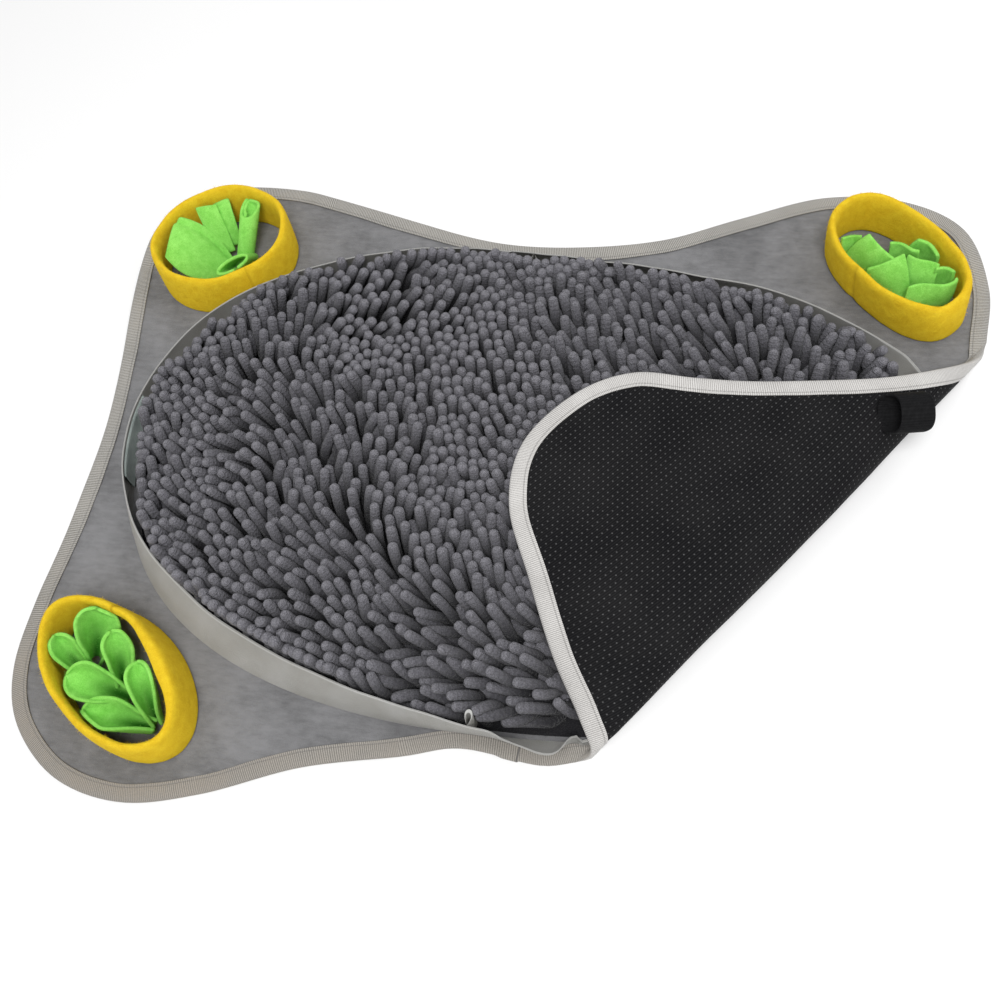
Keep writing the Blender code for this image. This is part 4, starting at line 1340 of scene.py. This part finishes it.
def leaf_mesh(row, cup, clear):
    """One leaf: a strip folded about its length, tight at its root and opening to its tip."""
    root, middle, tip = Vector(row[0:3]), Vector(row[3:6]), Vector(row[6:9])
    width, root_fold, tip_fold, bearing, slope, blunt = row[9:]
    bearing, slope = math.radians(bearing), math.radians(slope)
    toward = Vector((math.cos(bearing) * math.cos(slope), math.sin(bearing) * math.cos(slope),
                     math.sin(slope)))
    knee = middle * 2 - (root + tip) / 2

    def point_at(along, across):
        spine = root * (1 - along)**2 + knee * (2 * along * (1 - along)) + tip * along**2
        run = ((knee - root) * (1 - along) + (tip - knee) * along).normalized()
        hollow = (toward - run * toward.dot(run)).normalized()
        side = run.cross(hollow)
        fold = math.radians(root_fold + (tip_fold - root_fold) * smooth(along))
        end = max(along - 0.4, 0.0) / 0.6
        grown = math.sin(math.pi / 2 * min(along / 0.45, 1.0))
        half = width / 2 * (LEAF_ROOT_WIDTH + (1 - LEAF_ROOT_WIDTH) * grown)
        half *= math.sqrt(max(1 - end**blunt, 0.0))
        half *= 1 + 0.14 * noise.noise(Vector((along * 3, 2 * (across > 0.5), root.x + tip.y)))
        out, up = fold_curve(fold, abs(2 * across - 1))
        spot = spine + side * math.copysign(half * out, across - 0.5)
        spot += hollow * (half * (up - 0.35 * math.sin(fold)))
        spot += hollow * (2.0 * noise.noise(Vector((along * 2.5 + root.x, across * 2.5, tip.y))))
        return inside_cup(spot, cup, clear)

    return shaped_grid(18, 16, point_at)


def plain_uv(along, across):
    """Along the felt only, so that no painted crease shade shows; the painted root shade still does.
    """
    return along, 0.0


def flap_mesh(row, cup, clear):
    """One flap: a four-cornered piece of felt."""
    foot_left, foot_right, end_right, end_left = (Vector(row[n:n + 3]) for n in (0, 3, 6, 9))
    swell, wave, crease, bow = row[12:]
    sideways = (foot_right - foot_left).normalized()
    facing = (end_right - foot_left).cross(end_left - foot_right).normalized()
    facing *= math.copysign(1, facing.z)

    def point_at(along, across):
        spot = foot_left.lerp(foot_right, across).lerp(end_left.lerp(end_right, across), along)
        lift = swell * math.sin(math.pi * across) * math.sin(math.pi * (0.1 + 0.65 * along))
        lift += wave * math.sin(2 * math.pi * across) * along
        if crease:
            lift -= 3.0 * math.exp(-((across - crease) / 0.07)**2)
        lift += 0.8 * noise.noise(Vector((along * 2 + swell, across * 2, foot_left.x)))
        spot += facing * lift
        spot += sideways * (bow * math.sin(math.pi * along) * (2 * across - 1))
        return inside_cup(spot, cup, clear)

    return shaped_grid(14, 22, point_at, plain_uv)


def roll_mesh(row, cup, clear):
    """One leaf rolled up into a tube, its mouth cut aslant."""
    foot, mouth, wide = (Vector(row[n:n + 3]) for n in (0, 3, 6))
    depth, turns, aslant = row[9:]
    axis = (mouth - foot).normalized()
    deep = axis.cross(wide).normalized()
    deep *= -math.copysign(depth, deep.z)

    def point_at(along, across):
        angle = math.pi / 2 + 2 * math.pi * turns * across
        size = (0.8 + 0.2 * along) * (1 - 0.45 * across * (turns > 1))
        spot = foot.lerp(mouth, along) + (wide * math.cos(angle) + deep * math.sin(angle)) * size
        spot += axis * (aslant * along * math.sin(angle) * size)
        return inside_cup(spot, cup, clear)

    return shaped_grid(14, 36, point_at, plain_uv)


def add_leaves(name, surface):
    bundle = bmesh.new()
    shapes = [(leaf_mesh, row) for row in LEAVES.get(name, ())]
    shapes += [(flap_mesh, row) for row in FLAPS.get(name, ())]
    shapes += [(roll_mesh, row) for row in ROLLS.get(name, ())]
    for index, (build, row) in enumerate(shapes):
        leaf = build(row, CUPS[name], LEAF_CLEAR + LEAF_STEP * index)
        data = bpy.data.meshes.new("leaf")
        leaf.to_mesh(data)
        leaf.free()
        bundle.from_mesh(data)
        bpy.data.meshes.remove(data)
    piece = new_object("leaves_" + name, bundle, surface, 3.2)
    thicken(piece, LEAF_FELT)
    subdivide(piece)
    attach(piece, "root")
    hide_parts("leaves_" + name)
    add_fuzz(piece, surface)


green_felt = felt("felt_green", GREEN_DEEP, GREEN, GREEN_SHADOW, is_leaf=True)
for cup_name in CUPS:
    add_leaves(cup_name, green_felt)

# ---- Webbing loop ----
# A strip of black webbing 21.5 mm wide, bent into a flat loop and sewn under the binding at the
# right-hand end of the fold, for hanging the mat up or tying it rolled.

LOOP_CENTRE = Vector((255.7, 48.2, 49.75))
LOOP_ALONG = Vector((0.975, 0.20, -0.10))
LOOP_DOWN = Vector((0.20, -0.90, -0.38))
LOOP_WIDTH = 21.5
LOOP_LENGTH = 26.0
LOOP_DEPTH = 14.0
LOOP_WEBBING = 1.6
LOOP_SKEW = -10.0
LOOP_RUN = 0.066
LOOP_RIBS = 0.0016
LOOP_THREADS = 0.0009
WEBBING_BLACK = (0.004, 0.004, 0.0045, 1)
WEBBING_WORN = (0.013, 0.013, 0.014, 1)


def woven_webbing():
    finish = Finish("webbing_black", 0.65, Specular_IOR_Level=0.1)
    vector, x, y = finish.plan()
    ribs = (x * (2 * math.pi / LOOP_RIBS)).sine()
    threads = (y * (2 * math.pi / LOOP_THREADS)).sine()
    shade = (ribs * 0.1 + threads * 0.1 + finish.mottle(vector, 400.0)).between(0.2, 1.1)
    finish.tone(finish.blend(shade, WEBBING_BLACK, WEBBING_WORN))
    finish.relief(ribs + threads * 0.6, 0.00012)
    return finish.material


def add_webbing_loop():
    along_axis = LOOP_ALONG.normalized()
    face = along_axis.cross(LOOP_DOWN).normalized()
    down = face.cross(along_axis).normalized()
    section = ((0, -0.46), (0, 0.46), (0.3, 0.5), (LOOP_WEBBING - 0.3, 0.5),
               (LOOP_WEBBING, 0.46), (LOOP_WEBBING, -0.46), (LOOP_WEBBING - 0.3, -0.5),
               (0.3, -0.5))

    def point_at(along, across):
        angle = 2 * math.pi * along
        c, s = math.cos(angle), math.sin(angle)
        shape = Vector((math.copysign(abs(c)**0.8, c), math.copysign(abs(s)**0.8, s)))
        inset, end = profile_row(section, across)
        length = (LOOP_LENGTH / 2 - inset) * shape.x
        depth = (LOOP_DEPTH / 2 - inset) * shape.y
        shift = end * LOOP_WIDTH + LOOP_SKEW * shape.y / 2
        return LOOP_CENTRE + down * length + face * depth + along_axis * shift

    def uv_at(along, across):
        return along * LOOP_RUN, profile_row(section, across)[1] * LOOP_WIDTH * 0.001

    mesh = shaped_grid(72, len(section), point_at, uv_at)
    piece = new_object("webbing_loop", mesh, woven_webbing(), 0.9)
    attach(piece, "root")
    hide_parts("webbing_loop")


add_webbing_loop()

# ---- Floor, light and camera ----
# A plain pale floor, one large soft lamp above and in front, a weaker one behind on the right,
# and the camera high over the front of the mat.

FLOOR_SIZE = 6.0
FLOOR_PALE = (0.86, 0.86, 0.86, 1)
AMBIENT = 0.62
CAMERA_PLACE = (0.09849, -0.23120, 0.59673)
CAMERA_RIGHT = (0.98404, 0.13273, -0.11854)
CAMERA_UP = (-0.08383, 0.93331, 0.34914)
CAMERA_BACK = (0.15698, -0.33362, 0.92954)
LENS = 32.4
LAMPS = (
    # name, place, size, power
    ("key", (0.15, -0.6, 1.8), 0.9, 24.0),
    ("fill", (0.9, 0.9, 1.5), 1.4, 7.0),
)

floor_mesh = bmesh.new()
bmesh.ops.create_grid(floor_mesh, x_segments=1, y_segments=1, size=FLOOR_SIZE / 2)
pale_floor = Finish("pale_floor", 0.9)
pale_floor.tone(FLOOR_PALE)
floor = new_object("floor", floor_mesh, pale_floor.material)

world = bpy.data.worlds.new("studio")
world.use_nodes = True
background = world.node_tree.nodes["Background"]
background.inputs["Color"].default_value = (1, 1, 1, 1)
background.inputs["Strength"].default_value = AMBIENT
bpy.context.scene.world = world

for lamp_name, lamp_place, lamp_size, lamp_power in LAMPS:
    lamp_data = bpy.data.lights.new(lamp_name, "AREA")
    lamp_data.shape = "DISK"
    lamp_data.size = lamp_size
    lamp_data.energy = lamp_power
    lamp = bpy.data.objects.new(lamp_name, lamp_data)
    bpy.context.scene.collection.objects.link(lamp)
    lamp.location = lamp_place
    lamp.rotation_euler = (-Vector(lamp_place)).to_track_quat("-Z", "Y").to_euler()

camera_data = bpy.data.cameras.new("camera")
camera_data.lens = LENS
camera_data.sensor_width = 36.0
camera = bpy.data.objects.new("camera", camera_data)
bpy.context.scene.collection.objects.link(camera)
turned = Matrix((CAMERA_RIGHT, CAMERA_UP, CAMERA_BACK)).transposed().to_4x4()
camera.matrix_world = Matrix.Translation(CAMERA_PLACE) @ turned
bpy.context.scene.camera = camera
bpy.context.scene.view_settings.view_transform = "Standard"
